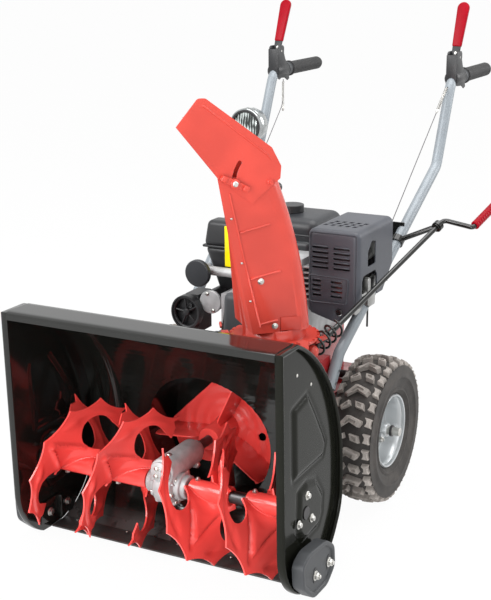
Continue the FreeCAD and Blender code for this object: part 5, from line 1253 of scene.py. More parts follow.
def setBack(shape, edges, low=0):  # the mouth's far edge lies further back than its near one
    look = chuteLook
    for vert in shape.verts:
        s, out = acrossChute(vert.co)
        up = vert.co.z
        if up < low:
            continue
        front, rear = (interpolated(line, up) for line in edges)
        share = min(1, max(0, (look["half"] - out) / (2 * look["half"])))
        reach = min(1, max(0, (rear - s) / max(1, rear - front)))
        crown = min(1, max(0, (up - look["crown"]) / 40))  # the roof's front edge slides down its own slope
        vert.co = Vector(onChute(s + look["inset"] * share * max(reach, crown), out,
                                 up - look["inset"] * look["fall"] * share * crown))
    return shape


def interpolated(line, up):  # the distance along the throat of a sloping edge at a height
    for (s, low), (t, high) in zip(line, line[1:]):
        if up <= high:
            return s + (t - s) * max(0, up - low) / (high - low)
    return line[-1][0]


def chuteBead(points, half, rise, side=1):  # a line pressed outwards in a flat wall
    face = chuteLook["half"] + 1.3
    line = [onChute(s, side * (face + rise - half), up) for s, up in points]
    sizes = [half] * len(line)
    return tube([line[0]] + line + [line[-1]], [half * 0.2] + sizes + [half * 0.2], 12)


def makeChute():
    look = chuteLook
    shape = cadShape("chute")
    c = look["half"]
    for side in (-1, 1):
        for line in look["lines"]:
            run = Vector(line[1]) - Vector(line[0])
            points = [tuple(Vector(line[0]) + run * k / 6) for k in range(7)]
            absorb(shape, chuteBead(points, 2.4, 1.3, side))
        hem = rounded([(a, b, 0) for a, b in look["hem"]], 60)
        absorb(shape, chuteBead([(point.x, point.y) for point in hem], 2.2, 1.2, side))
    for side in (-1, 1):  # the foot's stiffening plates
        patch = softened(prism([(-8, 458), (34, 458), (34, 486), (-8, 486)], 0, 1.2, "XZ"), 0.5, 2)
        for vert in patch.verts:
            vert.co = Vector(onChute(vert.co.x, side * (look["half"] + 0.9 + vert.co.y), vert.co.z))
        facingOut(patch)
        absorb(shape, patch)
    setBack(shape, (((-65, 455), (-135, 774)), ((64, 455), (41, 612), (-9, 774))), 456)
    piece("chuteThroat", shape, "redPaint", ["chute"], body="chute_body", soft=0.9, sharp=38)
    face = c + 1.4
    seats = [(onChute(s, face, up), (1, -1, 0)) for s, up in look["bolts"]]
    seated("chuteBolts", hexHead(7, 3, 6.5, 1), seats, body="chute_body")
    dots = [(onChute(s, face, up), (1, -1, 0)) for s, up in look["rivets"] + look["dots"]]
    seated("chuteRivets", domeHead(2.4, 1.4), dots, body="chute_body")


def makeHood():
    shape = cadShape("deflector")
    face = 63.6 + 2.5
    for side in (-1, 1):  # a line pressed beside the rolled top edge
        line = [(-172, 914), (-160, 913), (-36, 816), (-24, 800)]
        points = [onChute(s, side * (face - 0.9), up) for s, up in line]
        absorb(shape, tube(points, [1, 2.4, 2.4, 1], 12))
    setBack(shape, (((-66, 722), (-132, 771), (-215, 876), (-172, 928)),
                    ((-9, 722), (-9, 768), (-26, 829), (-157, 928))))
    piece("deflectorHood", shape, "redPaint", ["deflector"], body="hood", soft=0.8, sharp=38)
    seats = [(onChute(-30, side * (face + 0.2), 762), (side, -side, 0)) for side in (-1, 1)]
    seated("hoodPivots", domeHead(6, 2.4, 8), seats, finish="redPaint", body="hood")


knobLook = {"middle": (-103, 764), "slope": 26, "half": 31, "wide": 6.5, "out": 69.6, "thick": 5.5, "wing": 13,
            "hub": 9.5}


def makeKnob():  # a slim bar with a raised wing at each end, turned on the bolt through the arc slot
    look = knobLook
    half, wide, thick = look["half"], look["wide"], look["thick"]
    outline = circle(half - wide, 0, wide, 20)[15:] + circle(half - wide, 0, wide, 20)[:6]
    outline += [(-a, -b) for a, b in outline]
    shape = softened(prism(outline, 0, thick, "XY"), 1.2, 2)
    for sign in (-1, 1):
        low, high = sorted((sign * (half - 1), sign * (half - look["wing"])))
        absorb(shape, block((low, 1 - wide, thick - 2), (high, wide - 1, 11), 1.8, 3))
    absorb(shape, lathe([(0, -1), (look["hub"], -1), (look["hub"], thick + 1.5), (look["hub"] - 1.5, thick + 2.5),
                         (0, thick + 2.5)], (0, 0, 0), (0, 0, 1), 32))
    absorb(shape, lathe([(0, -14), (3, -14), (3, 0), (0, 0)], (0, 0, 0), (0, 0, 1), 20))
    c, s = cos(radians(look["slope"])), sin(radians(look["slope"]))
    for vert in shape.verts:
        a, b, out = vert.co
        along, up = look["middle"][0] + a * c + b * s, look["middle"][1] - a * s + b * c
        vert.co = Vector(onChute(along, look["out"] + out, up))
    facingOut(shape)
    piece("wingKnob", shape, "redPaint", ["deflector_knob"], body="wing_knob", slot="red_plastic", sharp=40)
    seat = onChute(look["middle"][0], look["out"] + thick + 2.4, look["middle"][1])
    seated("wingKnobBolt", hexHead(9, 2.6, 5.6, 1), [(seat, (1, -1, 0))], body="wing_knob")


makeChute()
makeHood()
makeKnob()
print("chute ready")


tyreLook = {"centre": (571, 165), "across": 258, "half": 50, "radius": 164.6, "lugHigh": 12, "pitches": 28,
            "chevron": [(-26, 15), (-19, 19), (-2, 4), (20, 13), (25, 4), (24, -1), (-2, -9), (-8, -8)],
            "near": [(3, -6), (7, 7), (25, 11), (22, -3)], "far": [(-28, 9), (-25, 16), (-7, 4), (-11, -6)],
            "shoulder": [(33, -10), (37, -4), (37, 3), (34, 9), (47, 12), (44.5, 4), (44.5, -3), (47, -8)],
            "wall": [(148, 48.5), (138, 49.4), (127, 49.6), (124.5, 52), (121, 52), (118.5, 48.6), (106, 47),
                     (99, 44.5), (96.5, 46.6), (93, 46.6), (90.5, 42.6), (84, 37), (80, 33), (78.5, 27),
                     (78.5, 20)]}


def crown(across):  # the tread's outer radius falls away to the shoulders
    return tyreLook["radius"] - 10 * (abs(across) / tyreLook["half"]) ** 2.6


def lugShape(outline, shift=0, groove=True):  # one lug on the tread: chamfered, with a shallow slot in its face
    look = tyreLook
    middle = sum((Vector(point) for point in outline), Vector((0, 0))) / len(outline)
    levels = [(1.12, -look["lugHigh"] - 1), (1.0, -1.4), (0.9, 0)]
    if groove:
        levels += [(0.56, 0), (0.44, -3.6)]
    shape = bmesh.new()
    rings = []
    for size, drop in levels:
        ring = []
        for point in outline:
            a, b = middle + (Vector(point) - middle) * size
            radius, angle = crown(a) + drop, (b + shift) / 160
            ring.append(shape.verts.new((a, radius * cos(angle), radius * sin(angle))))
        rings.append(ring)
    skinned(shape, rings)
    shape.faces.new(rings[-1])
    shape.faces.new(reversed(rings[0]))
    facingOut(shape)
    return shape


def makeTyre(side, sign):
    look = tyreLook
    back, up = look["centre"]
    centre = (sign * look["across"], back, up)
    outer = [(crown(a) - look["lugHigh"], a) for a in (0, 12, 24, 34, 41, 46)] + look["wall"]
    profile = outer + [(r, -a) for r, a in reversed(outer[1:])]
    carcass = ringLathe(profile, centre, (1, 0, 0), 112)
    piece("tyreCarcass_" + side, carcass, "tyreRubber", ["tyre_" + side], body="wheels", sharp=50)
    pitch = 2 * pi * 160 / look["pitches"]
    seed = lugShape(look["chevron"])
    absorb(seed, lugShape(look["near"], pitch), lugShape(look["far"], pitch))
    for shift in (0, pitch):
        absorb(seed, lugShape(look["shoulder"], shift, False),
               lugShape([(-a, b) for a, b in reversed(look["shoulder"])], shift, False))
    sided(sign, seed)
    moved(seed, Matrix.Translation(centre))
    # the lugs' pale rubber is dust and painted light on their faces
    copies("tyreLugs_" + side, seed, "lugRubberDustAndPaintedLight", "wheels", "tyre_rubber", look["pitches"] // 2,
           step=720 / look["pitches"], pivot=centre, sharp=30)


rimLook = {"face": [(78, 40), (81, 41), (83, 38.5), (81, 36), (77.5, 34), (75, 29), (72.5, 22), (71.5, 6),
                    (68.5, -2), (62, -3.5), (58, -2.5), (55, 1.5), (50, 2.5), (28, 5), (24, 9), (17, 10)],
           "rear": [(69.5, -6), (69.5, -28), (74, -34), (78, -40), (81, -41), (83, -38.5), (81, -36), (76, -34),
                    (72.5, -30)],
           "wall": (2.2, 2.4), "hub": 16, "axle": 9.3, "pinWay": (0, -0.9, -0.45)}


def makeRim(side, sign):  # a pressed rim: rolled lips, a stepped dish, a welded hub with its cross pin, the axle's end
    back, up = tyreLook["centre"]
    centre, way = (sign * tyreLook["across"], back, up), (sign, 0, 0)
    look, face = rimLook, rimLook["face"]
    inward, behind = look["wall"]
    under = [(r - inward if r > 60 else r, a - behind) for r, a in reversed(face[5:])]
    shape = ringLathe(face + [(17, 7.6)] + under[1:6] + look["rear"] + [(72, -8)], centre, way, 96)
    hub, axle = look["hub"], look["axle"]
    absorb(shape, ringLathe([(10, -30), (hub, -30), (hub, 30), (hub - 1.5, 32), (10, 32)], centre, way, 48))
    absorb(shape, lathe([(0, -1), (6.5, -1), (6.5, 25), (5.5, 26.5), (0, 26.5)],
                        (centre[0] + sign * 22, back, up - 3), look["pinWay"], 20))
    piece("rimDish_" + side, shape, "rimSilver", ["rim_" + side], body="wheels", sharp=40)
    stub = lathe([(0, 20), (axle, 20), (axle, 38), (12.5, 38.2), (12.5, 43), (axle, 43.2), (axle, 51), (8, 52.4),
                  (0, 52.4)], centre, way, 32)
    piece("axleEnd_" + side, stub, "darkSteel", body="wheels")
    seated("rimPins_" + side, hexHead(10, 5, 9), [((centre[0] + sign * 24, back - 22.5, up - 14.5), look["pinWay"])],
           body="wheels")


for side, sign in (("left", -1), ("right", 1)):
    makeTyre(side, sign)
    makeRim(side, sign)
print("wheels ready")


def cutSheet(loops, levels, place):  # a flat cut-out divided at given levels both ways, laid by a rule; no wall yet
    shape = filled(loops)
    for way, cuts in zip((Vector((1, 0, 0)), Vector((0, 1, 0))), levels):
        for level in cuts:
            sliced(shape, way, level)
    for vert in shape.verts:
        vert.co = place(vert.co.x, vert.co.y)
    return shape


def cutsFor(low, high, radius, step=12):  # levels close together where the corners turn, wider between them
    near = [radius * k / 5 for k in range(1, 6)]
    between = [low + radius + (high - low - 2 * radius) * k / max(1, round((high - low - 2 * radius) / step))
               for k in range(1, max(1, round((high - low - 2 * radius) / step)))]
    return sorted([low + k for k in near] + between + [high - k for k in near])


def roundedOver(shape, low, high, radius):  # points of a boxy shape drawn on to a box with rounded edges and corners
    for vert in shape.verts:
        inner = Vector([min(max(vert.co[k], low[k] + radius), high[k] - radius) for k in range(3)])
        way = vert.co - inner
        if way.length > 0.001:
            reach = max(abs(part) for part in way)
            vert.co = inner + way.normalized() * reach
    return shape


def pillow(low, high, radius, step=12):  # a box with generously rounded edges and corners
    shape = bmesh.new()
    for axis in range(3):
        a, b = (axis + 1) % 3, (axis + 2) % 3
        for level in (low[axis], high[axis]):
            def place(first, second, axis=axis, a=a, b=b, level=level):
                spot = [0, 0, 0]
                spot[axis], spot[a], spot[b] = level, first, second
                return Vector(spot)

            outline = [(low[a], low[b]), (high[a], low[b]), (high[a], high[b]), (low[a], high[b])]
            absorb(shape, cutSheet([outline], (cutsFor(low[a], high[a], radius, step),
                    cutsFor(low[b], high[b], radius, step)), place))
    bmesh.ops.remove_doubles(shape, verts=shape.verts, dist=0.01)
    roundedOver(shape, low, high, radius)
    facingOut(shape)
    return shape


def tapered(low, high, levels, soft, segments=4):  # a block whose bottom and top are different rectangles
    shape = bmesh.new()
    rings = [[shape.verts.new((x, y, z)) for x, y in ((a, b), (c, b), (c, d), (a, d))]
             for (a, b, c, d), z in zip((low, high), levels)]
    shape.faces.new(reversed(rings[0]))
    shape.faces.new(rings[1])
    skinned(shape, rings)
    facingOut(shape)
    return softened(shape, soft, segments) if soft else shape


def slot(low, high, level, half):  # a round-ended slot along the first direction
    ends = [(high - half, -90), (low + half, 90)]
    return [onCircle((middle, level), half, start + turn)
            for middle, start in ends for turn in range(0, 181, 30)]


guardLook = {
    "low": (117, 512, 400), "high": (236, 705, 617), "radius": 14, "wall": 2.4,
    "foot": [(117, 438), (126, 432), (190, 414), (236, 450)],
    "rows": (579, 568, 557, 546, 535), "columns": ((127, 166), (177, 216)), "slotHalf": 2.5,
    "panel": [(122, 517), (213, 515), (208, 459), (123, 457)], "smallRows": (506, 495.5, 485, 474),
    "smallColumns": ((129, 151), (173, 200)), "bolt": (190, 438),
}


def makeGuard():
    look = guardLook
    low, high = look["low"], look["high"]
    cuts = [cutsFor(low[k], high[k], look["radius"], 9) for k in range(3)]
    cuts[2] = [level for level in cuts[2] if level > 430]
    half = look["slotHalf"]
    slots = [slot(a, b, level, half) for level in look["rows"] for a, b in look["columns"]]
    slots += [slot(a, b, level, 2.6) for level in look["smallRows"] for a, b in look["smallColumns"]]
    front = [(low[0], high[2])] + look["foot"] + [(high[0], high[2])]
    shape = cutSheet([front] + slots + [circle(*look["bolt"], 8.2, 20)], (cuts[0], cuts[2]),
                     lambda a, b: (a, low[1], b))
    bay = rounded([(562, 548, 0), (562, 534, 0), (606, 534, 0), (606, 584, 0), (584, 588, 0), (562, 568, 0),
                   (562, 548, 0)], 5, 4)[:-1]
    flank = [(low[1], look["foot"][-1][1]), (530, 454), (532, 508), (540, 519), (606, 519), (616, 508), (618, 462),
             (650, 462), (high[1], 512), (high[1], high[2]), (low[1], high[2])]
    absorb(shape, cutSheet([flank, [(point.x, point.y) for point in bay]], (cuts[1], cuts[2]),
                           lambda a, b: (high[0], a, b)))
    left = [(low[1], look["foot"][0][1]), (560, 446), (high[1], 512), (high[1], high[2]), (low[1], high[2])]
    absorb(shape, cutSheet([left], (cuts[1], cuts[2]), lambda a, b: (low[0], a, b)))
    vents = []
    for row in range(3):
        for column in range(5):
            a, b = 136 + column * 17 + row * 5, 566 + row * 19
            vents.append([(a - 5, b - 7), (a + 4, b - 7), (a + 7, b + 5), (a - 2, b + 5)])
    top = [(low[0], low[1]), (high[0], low[1]), (high[0], high[1]), (low[0], high[1])]
    absorb(shape, cutSheet([top] + vents, (cuts[0], cuts[1]), lambda a, b: (a, b, high[2])))
    bmesh.ops.remove_doubles(shape, verts=shape.verts, dist=0.02)
    roundedOver(shape, (low[0], low[1], 300), (high[0], high[1] + 40, high[2]), look["radius"])
    for vert in shape.verts:  # the lower louvres sit in a panel that stands out a little, the bolt in a dimple
        a, b = vert.co.x, vert.co.z
        if vert.co.y < low[1] + 3:
            vert.co.y += 3.4 - 3.4 * step(inside((a, b), look["panel"]), -1, 3.5)
            vert.co.y += 4 * fade(hypot(a - look["bolt"][0], b - look["bolt"][1]), 9, 14)
    facingOut(shape)
    walled(shape, look["wall"])
    for levels, columns, out in ((look["rows"], look["columns"], 2.4), (look["smallRows"], look["smallColumns"], 0.2)):
        for level in levels:  # a small hood over every slot
            for a, b in columns:
                face, edge = low[1] + out, level + half
                line = [(a + 2, face, edge), (a + 5, face - 0.7, edge + 0.6), (b - 5, face - 0.7, edge + 0.6),
                        (b - 2, face, edge)]
                absorb(shape, tube(line, [0.6, 1.9, 1.9, 0.6], 10))
    corners = look["panel"] + look["panel"][:1]
    middle = [tuple((Vector(corners[0]) + Vector(corners[1])) / 2)]
    border = rounded([(a, b, 0) for a, b in middle + corners[1:] + middle], 6, 5)
    absorb(shape, tube([(point.x, low[1] + 0.5, point.y) for point in border], 2.0, 10, False))
    absorb(shape, block((low[0] + 6, high[1] - 8, 470), (high[0] - 6, high[1] - 5, high[2] - 8), 1, 2))
    piece("mufflerGuard", shape, "guardPlastic", ["muffler_guard"], sharp=48)
    bolt = lathe([(0, 0), (7, 0), (7, 4), (6, 5.2), (3.4, 5.2), (3.2, 3.4), (0, 3.4)],
                 (look["bolt"][0], low[1] + 9, look["bolt"][1]), (0, -1, 0), 28)
    piece("guardBolt", bolt, "darkSteel")


mufflerLook = {
    "can": ((128, 546, 526), (216, 680, 596)), "radius": 22, "fold": 1.6,
    "seam": [(172, 612, 525.4), (216.6, 612, 525.4), (216.6, 612, 596.6), (127.4, 612, 596.6), (127.4, 612, 525.4),
             (172, 612, 525.4)],
    "outlet": [(206, 574, 560), (206, 574, 470), (170, 574, 440), (120, 574, 440)], "outletRadius": 13,
    "outletFlange": ((186, 560, 466), (226, 590, 472)),
    "shields": (((122, 527, 519), (230, 529, 600)), ((121, 527, 440), (123, 700, 600))),
    "tray": ((124, 527, 446), (228, 529, 518)), "trayFloor": ((118, 560, 420), (212, 640, 446)),
    "trayEnd": ((196, 604, 430), (226, 640, 500)),
}


def makeMuffler():  # a rolled can with a folded seam, its heat shield and the outlet
    look = mufflerLook
    can = pillow(*look["can"], look["radius"], 14)
    absorb(can, tube(rounded(look["seam"], look["radius"], 8), look["fold"], 8))
    absorb(can, tube(rounded(look["outlet"], 26, 8), look["outletRadius"], 24),
           block(*look["outletFlange"], 1.5, 2))
    piece("mufflerCan", can, "mufflerSteel", ["muffler"], sharp=40)
    front, flank = look["shields"]
    shield = block(*front, 0.6, 2)
    absorb(shield, block(*flank, 0.6, 2))
    piece("mufflerShield", shield, "darkSteel")
    tray = block(*look["tray"], 0.6, 2)
    absorb(tray, block(*look["trayFloor"], 5, 3), block(*look["trayEnd"], 6, 3))
    piece("mufflerTray", tray, "mufflerSteel")


tankLook = {"upper": ((-130, 606, 540), (96, 760, 611.5)), "radius": 24, "lower": ((-20, 596, 500), (86, 700, 566)),
            "lowerRadius": 14, "seamUp": 577, "seam": 2.0, "neck": (0, 680, 611), "neckRadius": 33}


def makeTank():
    look = tankLook
    low, high = look["upper"]
    back, up, neck = look["neck"][1], look["seamUp"], look["neckRadius"]
    shape = pillow(low, high, look["radius"], 14)
    absorb(shape, pillow(*look["lower"], look["lowerRadius"], 14))
    seam = [(low[0], back, up), (low[0], low[1], up), (high[0], low[1], up), (high[0], high[1], up),
            (low[0], high[1], up), (low[0], back, up)]
    absorb(shape, tube(rounded(seam, look["radius"], 8), look["seam"], 8))
    absorb(shape, lathe([(0, -6), (neck, -6), (neck, 0), (neck - 3, 1.2), (0, 1.2)], look["neck"], (0, 0, 1), 48))
    piece("fuelTank", shape, "engineCover", ["fuel_tank"], sharp=40)


airCoverLook = {
    "bowl": ((-124, 554, -58, 690), (-157, 543, -43, 699), (438, 544)),
    "lip": ((-160, 540.5, 542.5), (-40, 700, 548.5)),
    "lid": ((-158, 541, -42, 597), (-150, 546, -46, 594), (546, 604.5)),
    "rear": ((-156, 600, -44, 696), (-148, 606, -52, 690), (546, 576)),
    "panel": ((-101, 539.2, 503), (-52, 541.4, 596)),
}


def makeAirCover():  # a tapered bowl, a lip all round it, a lid with rounded corners and the plain yellow sheet
    look = airCoverLook
    shape = tapered(*look["bowl"], 12, 5)
    absorb(shape, block(*look["lip"], 2.4, 3))
    absorb(shape, tapered(*look["lid"], 11, 6))
    absorb(shape, tapered(*look["rear"], 9, 5))
    piece("airCover", shape, "blackPlastic", ["carburettor_cover"], sharp=42)
    sheet = block(*look["panel"], 0.8, 2)
    piece("plainPanel", sheet, "yellowSheet", slot="black_plastic")


starterLook = {"centre": (-120, 502, 426), "radius": 25, "length": 97, "cap": 27, "capHigh": 8.2,
               "stud": (-96, 540, 440), "screws": ((-7, 19), (8, -19))}


def makeStarter():  # the motor's can, its pale end cap with two screws, and the terminal stud
    look = starterLook
    centre, radius, end, wide, high = (look[key] for key in ("centre", "radius", "length", "cap", "capHigh"))
    can = lathe([(0, 6), (radius - 0.6, 6), (radius, 8), (radius, end - 5), (radius - 2, end - 2), (12, end), (0, end)],
                centre, (0, 1, 0), 48)
    absorb(can, lathe([(0, 0), (5, 0), (5, 20), (3, 20), (3, 30), (0, 30)], look["stud"], (0.8, 0, 0.4), 20))
    piece("starterCan", can, "darkSteel", ["starter_motor"], sharp=38)
    cap = lathe([(0, 0), (wide - 1.5, 0), (wide, 1.2), (wide, high - 1.2), (wide - 1.5, high), (0, high)], centre,
                (0, 1, 0), 56)
    piece("starterCap", cap, "castAlloy", sharp=38)
    seats = [((centre[0] + a, centre[1], centre[2] + b), (0, -1, 0)) for a, b in look["screws"]]
    seated("starterScrews", domeHead(4, 1.6, 5.2), seats)


shroudLook = {"centre": (-173, 487, 400), "ring": (32.5, 35.5), "wire": 4.2, "spokes": 5, "hub": 8.6,
              "button": (-166, 491, 414), "buttonRadius": 6, "buttonLength": 23}


def makeShroud():  # the cooling shroud at the engine's left: a ring on the switch housing, with spokes inside
    look = shroudLook
    (across, back, up), (wide, high), hub = look["centre"], look["ring"], look["hub"]
    shape = cadShape("switch_box")
    ring = [(across + wide * cos(angle), back, up + high * sin(angle))
            for angle in (2 * pi * k / 72 for k in range(73))]
    absorb(shape, tube(ring, look["wire"], 12, False))
    for k in range(look["spokes"]):
        angle = 0.5 + 2 * pi * k / look["spokes"]
        end = (across + (wide - 2.5) * cos(angle), back + 2, up + (high - 2.5) * sin(angle))
        absorb(shape, tube([(across, back + 2, up), end], [3, 2.2], 10))
    absorb(shape, lathe([(0, -4), (7, -4), (hub, -2), (hub, 8), (0, 8)], look["centre"], (0, 1, 0), 32))
    piece("switchHousing", shape, "blackPlastic", ["switch_box"], soft=0.8, sharp=40)
    wide, end = look["buttonRadius"], look["buttonLength"]
    button = lathe([(0, 0.6), (3.6, 0.4), (4.6, 0), (5.5, 0.3), (wide, 1.2), (wide, end), (0, end)], look["button"],
                   (0, 1, 0), 36)
    piece("startButton", button, "blackPlastic", ["start_button"], body="button", sharp=40)


makeGuard()
makeMuffler()
makeTank()
makeAirCover()
makeStarter()
makeShroud()
print("engine covers ready")


sleeveLook = {"pivot": (240, 1085, 938), "lean": 24.5, "length": 139, "start": 26, "foot": 11.5, "top": 15,
              "thick": 4.8}


def leverShape(outline, thick, soft, segments=3):  # a flat outline along the lever, leaning back at its pivot
    look = sleeveLook
    shape = softened(prism(outline, -thick, thick, "XZ"), soft, segments)
    return moved(shape, Matrix.Translation(look["pivot"]) @ Matrix.Rotation(radians(-look["lean"]), 4, "X"))


def makeLever(side, sign):
    look = sleeveLook
    start, end, foot, top = look["start"], look["length"], look["foot"], look["top"]
    outline = [(-foot, start), (foot, start)] + [onCircle((0, end - top), top, a) for a in range(0, 181, 12)]
    sleeve = leverShape(outline, look["thick"], 3.4, 4)
    arm = leverShape([(-9, -8), (9, -8), (10.5, 34), (-10.5, 34)], 2.6, 1.2)
    pin = lathe([(0, -13.6), (3, -13.6), (3, 13.6), (0, 13.6)], look["pivot"], (1, 0, 0), 20)
    screw = lathe([(0, 0), (4, 0), (3.6, 1.8), (2, 2.6), (0, 2.8)],
                  Vector(look["pivot"]) + Vector((0, 2.2, 9)), (0, -0.91, 0.41), 20)
    sided(sign, sleeve, arm, pin, screw)
    body = "lever_" + side
    piece("leverSleeve_" + side, sleeve, "redPlastic", ["clutch_lever_" + side], body=body)
    piece("leverArm_" + side, arm, "blackPlastic", body=body)
    piece("leverScrew_" + side, absorb(screw, pin), "zincSteel", body=body)


bracketLook = {
    "outline": [(1063, 874), (1062, 926), (1066, 948), (1073, 952), (1095, 952), (1101, 946), (1100, 932), (1108, 916),
                (1120, 904), (1124, 884), (1132, 864), (1122, 860), (1106, 868), (1072, 870)],
    "cheeks": (226.5, 250), "thick": 3.5, "web": ((226.5, 1061.6, 874), (253.5, 1065, 944)),
    "ear": ((234, 1062, 864), (246, 1066, 876)), "clamp": (240, 1088, 888), "collar": (240, 1131, 888),
}


def makeBracket(side, sign):  # cheeks each side of the lever, a web in front, a clamp on the tube and a cable ear
    look = bracketLook
    shape = bmesh.new()
    for across in look["cheeks"]:
        absorb(shape, softened(prism(look["outline"], across, across + look["thick"], "YZ"), 1.1, 2))
    for part in ("web", "ear"):
        absorb(shape, block(*look[part], 1.2, 2))
    absorb(shape, ringLathe([(12.8, -24), (17, -24), (18, -22), (18, 38), (17, 40), (12.8, 40)], look["clamp"],
                            (0, 1, 0), 40))
    collar = ringLathe([(12.7, 0), (16.5, 0), (17, 1), (17, 17), (16.5, 18), (12.7, 18)], look["collar"], (0, 1, 0), 40)
    sided(sign, shape, collar)
    piece("leverBracket_" + side, shape, "blackPlastic", ["lever_brackets"] if sign < 0 else ())
    piece("gripCollar_" + side, collar, "greyPlastic")


gripLook = {"across": 240, "start": 1149.5, "up": 888, "radius": 17, "groove": 0.7, "ribs": 19, "step": 8.4}


def makeGrip(side, sign):  # ribbed rubber with a rounded end
    look = gripLook
    profile = [(0, 0), (12.7, 0), (18.6, 0), (20, 1.5), (20, 7), (18.2, 9)]
    radius, sunk = look["radius"], look["radius"] - look["groove"]
    for k in range(look["ribs"]):
        low = 12 + look["step"] * k
        profile += [(radius, low), (sunk, low + 1), (sunk, low + 2), (radius, low + 3)]
    profile += [(radius, 180), (15.5, 185), (11, 188), (0, 188)]
    shape = lathe(profile, (sign * look["across"], look["start"], look["up"]), (0, 1, 0), 48)
    piece("grip_" + side, shape, "gripRubber", ["grips"] if sign < 0 else (), sharp=50)


cableLook = {
    "right": ((238, 1064, 866), (238, 1040, 872), (220, 740, 594), (178, 712, 480), (178, 710, 352)),
    "left": ((-240, 1122, 862), (-240, 1121, 800), (-216, 900, 640), (-178, 712, 480), (-176, 710, 352)),
    "spring": 66, "wire": 1.0, "sheath": 2.3,
}


def makeCables():
    look = cableLook
    wires, sheaths = bmesh.new(), bmesh.new()
    for side in ("right", "left"):
        points = [Vector(point) for point in look[side]]
        line = rounded(points, 40, 8)
        absorb(wires, tube(line, look["wire"], 10))
        absorb(sheaths, tube(rounded([points[3] + (points[2] - points[3]).normalized() * 60, points[3], points[4]],
                30, 8), look["sheath"], 12))
        way = (points[2] - points[1]).normalized() if side == "right" else Vector((0, -0.02, -1)).normalized()
        start = points[1] if side == "right" else points[0]
        wound("cableSpring_" + side, start + way * 6, way, 22, 3.0, look["spring"], 0.7, "zincSteel", "machine",
              "zinc_steel", 12)
        end = start + way * (look["spring"] + 6)
        ferrule = lathe([(0, 0), (2.6, 0), (3, 1), (3, 9), (2, 11), (0, 11)], end, way, 20)
        piece("cableFerrule_" + side, ferrule, "zincSteel")
    piece("cableWires", wires, "darkSteel", ["control_cables"])
    piece("cableSheaths", sheaths, "cableSheath")


headlampLook = {"front": (-240, 905, 765), "post": 7, "tubeFoot": (-197.8, 505, 352), "tubeBend": (-240, 975, 690),
                "ribs": 18, "facets": 14}


def spokesRound(shape, count, lag, points, sizes, sides):  # small bars round the lamp; points are (radius, behind)
    across, front, up = headlampLook["front"]
    for k in range(count):
        angle = 2 * pi * (k + lag) / count
        c, s = cos(angle), sin(angle)
        absorb(shape, tube([(across + r * c, front + behind, up + r * s) for r, behind in points], sizes, sides))


def makeLamp():
    look = headlampLook
    across, front, up = start = look["front"]
    way = (0, 1, 0)
    bowl = ringLathe([(41, 0), (43.5, 0), (44.6, 1.5), (44.6, 6), (43.2, 8), (43.2, 12), (44.6, 14), (44.6, 22),
                      (41.5, 44), (30, 66), (18, 76), (8, 79.5), (2, 79.5), (2, 77), (8, 76.5), (28, 64), (39, 42),
                      (41.5, 22), (41, 10)], start, way, 72)
    seatLow, seatHigh = Vector(look["tubeFoot"]), Vector(look["tubeBend"])
    seat = seatLow.lerp(seatHigh, (front + 40 - seatLow.y) / (seatHigh.y - seatLow.y))
    absorb(bowl, tube([seat, (across, front + 40, up - 42)], look["post"], 20))
    run = (seatHigh - seatLow).normalized()
    absorb(bowl, ringLathe([(12.8, -9), (15.5, -9), (15.5, 9), (12.8, 9)], seat, run, 36))
    spokesRound(bowl, look["ribs"], 0, ((44, 17), (43.6, 30), (40.5, 46)), [0.8, 1.7, 0.8], 8)  # behind its rim
    piece("lampBowl", bowl, "lampChrome", ["headlamp_shell"], sharp=35)
    dish = lathe([(37, 7), (33.5, 10), (27, 20), (18, 28), (9, 32), (0, 33)], start, way, 64)
    absorb(dish, lathe([(0, 33), (7, 31), (7, 20), (5.5, 17), (0, 16.5)], start, way, 28))
    piece("lampReflector", dish, "lampChrome", sharp=35)
    facets = ringLathe([(9, 30), (13, 28), (13, 31.5), (9, 32.8)], start, way, 40)
    spokesRound(facets, look["facets"], 0.3, ((35, 9.5), (26, 21), (12, 31)), [0.8, 2.4, 0.8], 6)
    piece("lampFacets", facets, "darkSteel", slot="lamp_chrome", sharp=35)
    ring = ringLathe([(35, -0.6), (36.4, -2), (39.8, -2), (41.4, 0), (41.4, 6), (35, 6)], start, way, 72)
    piece("lampGasket", ring, "gripRubber", sharp=40)
    lens = lathe([(0, 0), (20, 0.6), (35.2, 3.2), (35.2, 5.6), (20, 3.6), (0, 3)], start, way, 64)
    piece("lampLens", lens, "lampGlass", ["headlamp_lens"], sharp=40)


crankLook = {"end": (222, 400, 428), "eye": (318, 775, 590), "over": 25, "arm": 76, "radius": 5.6, "reach": 62,
             "grip": 92}


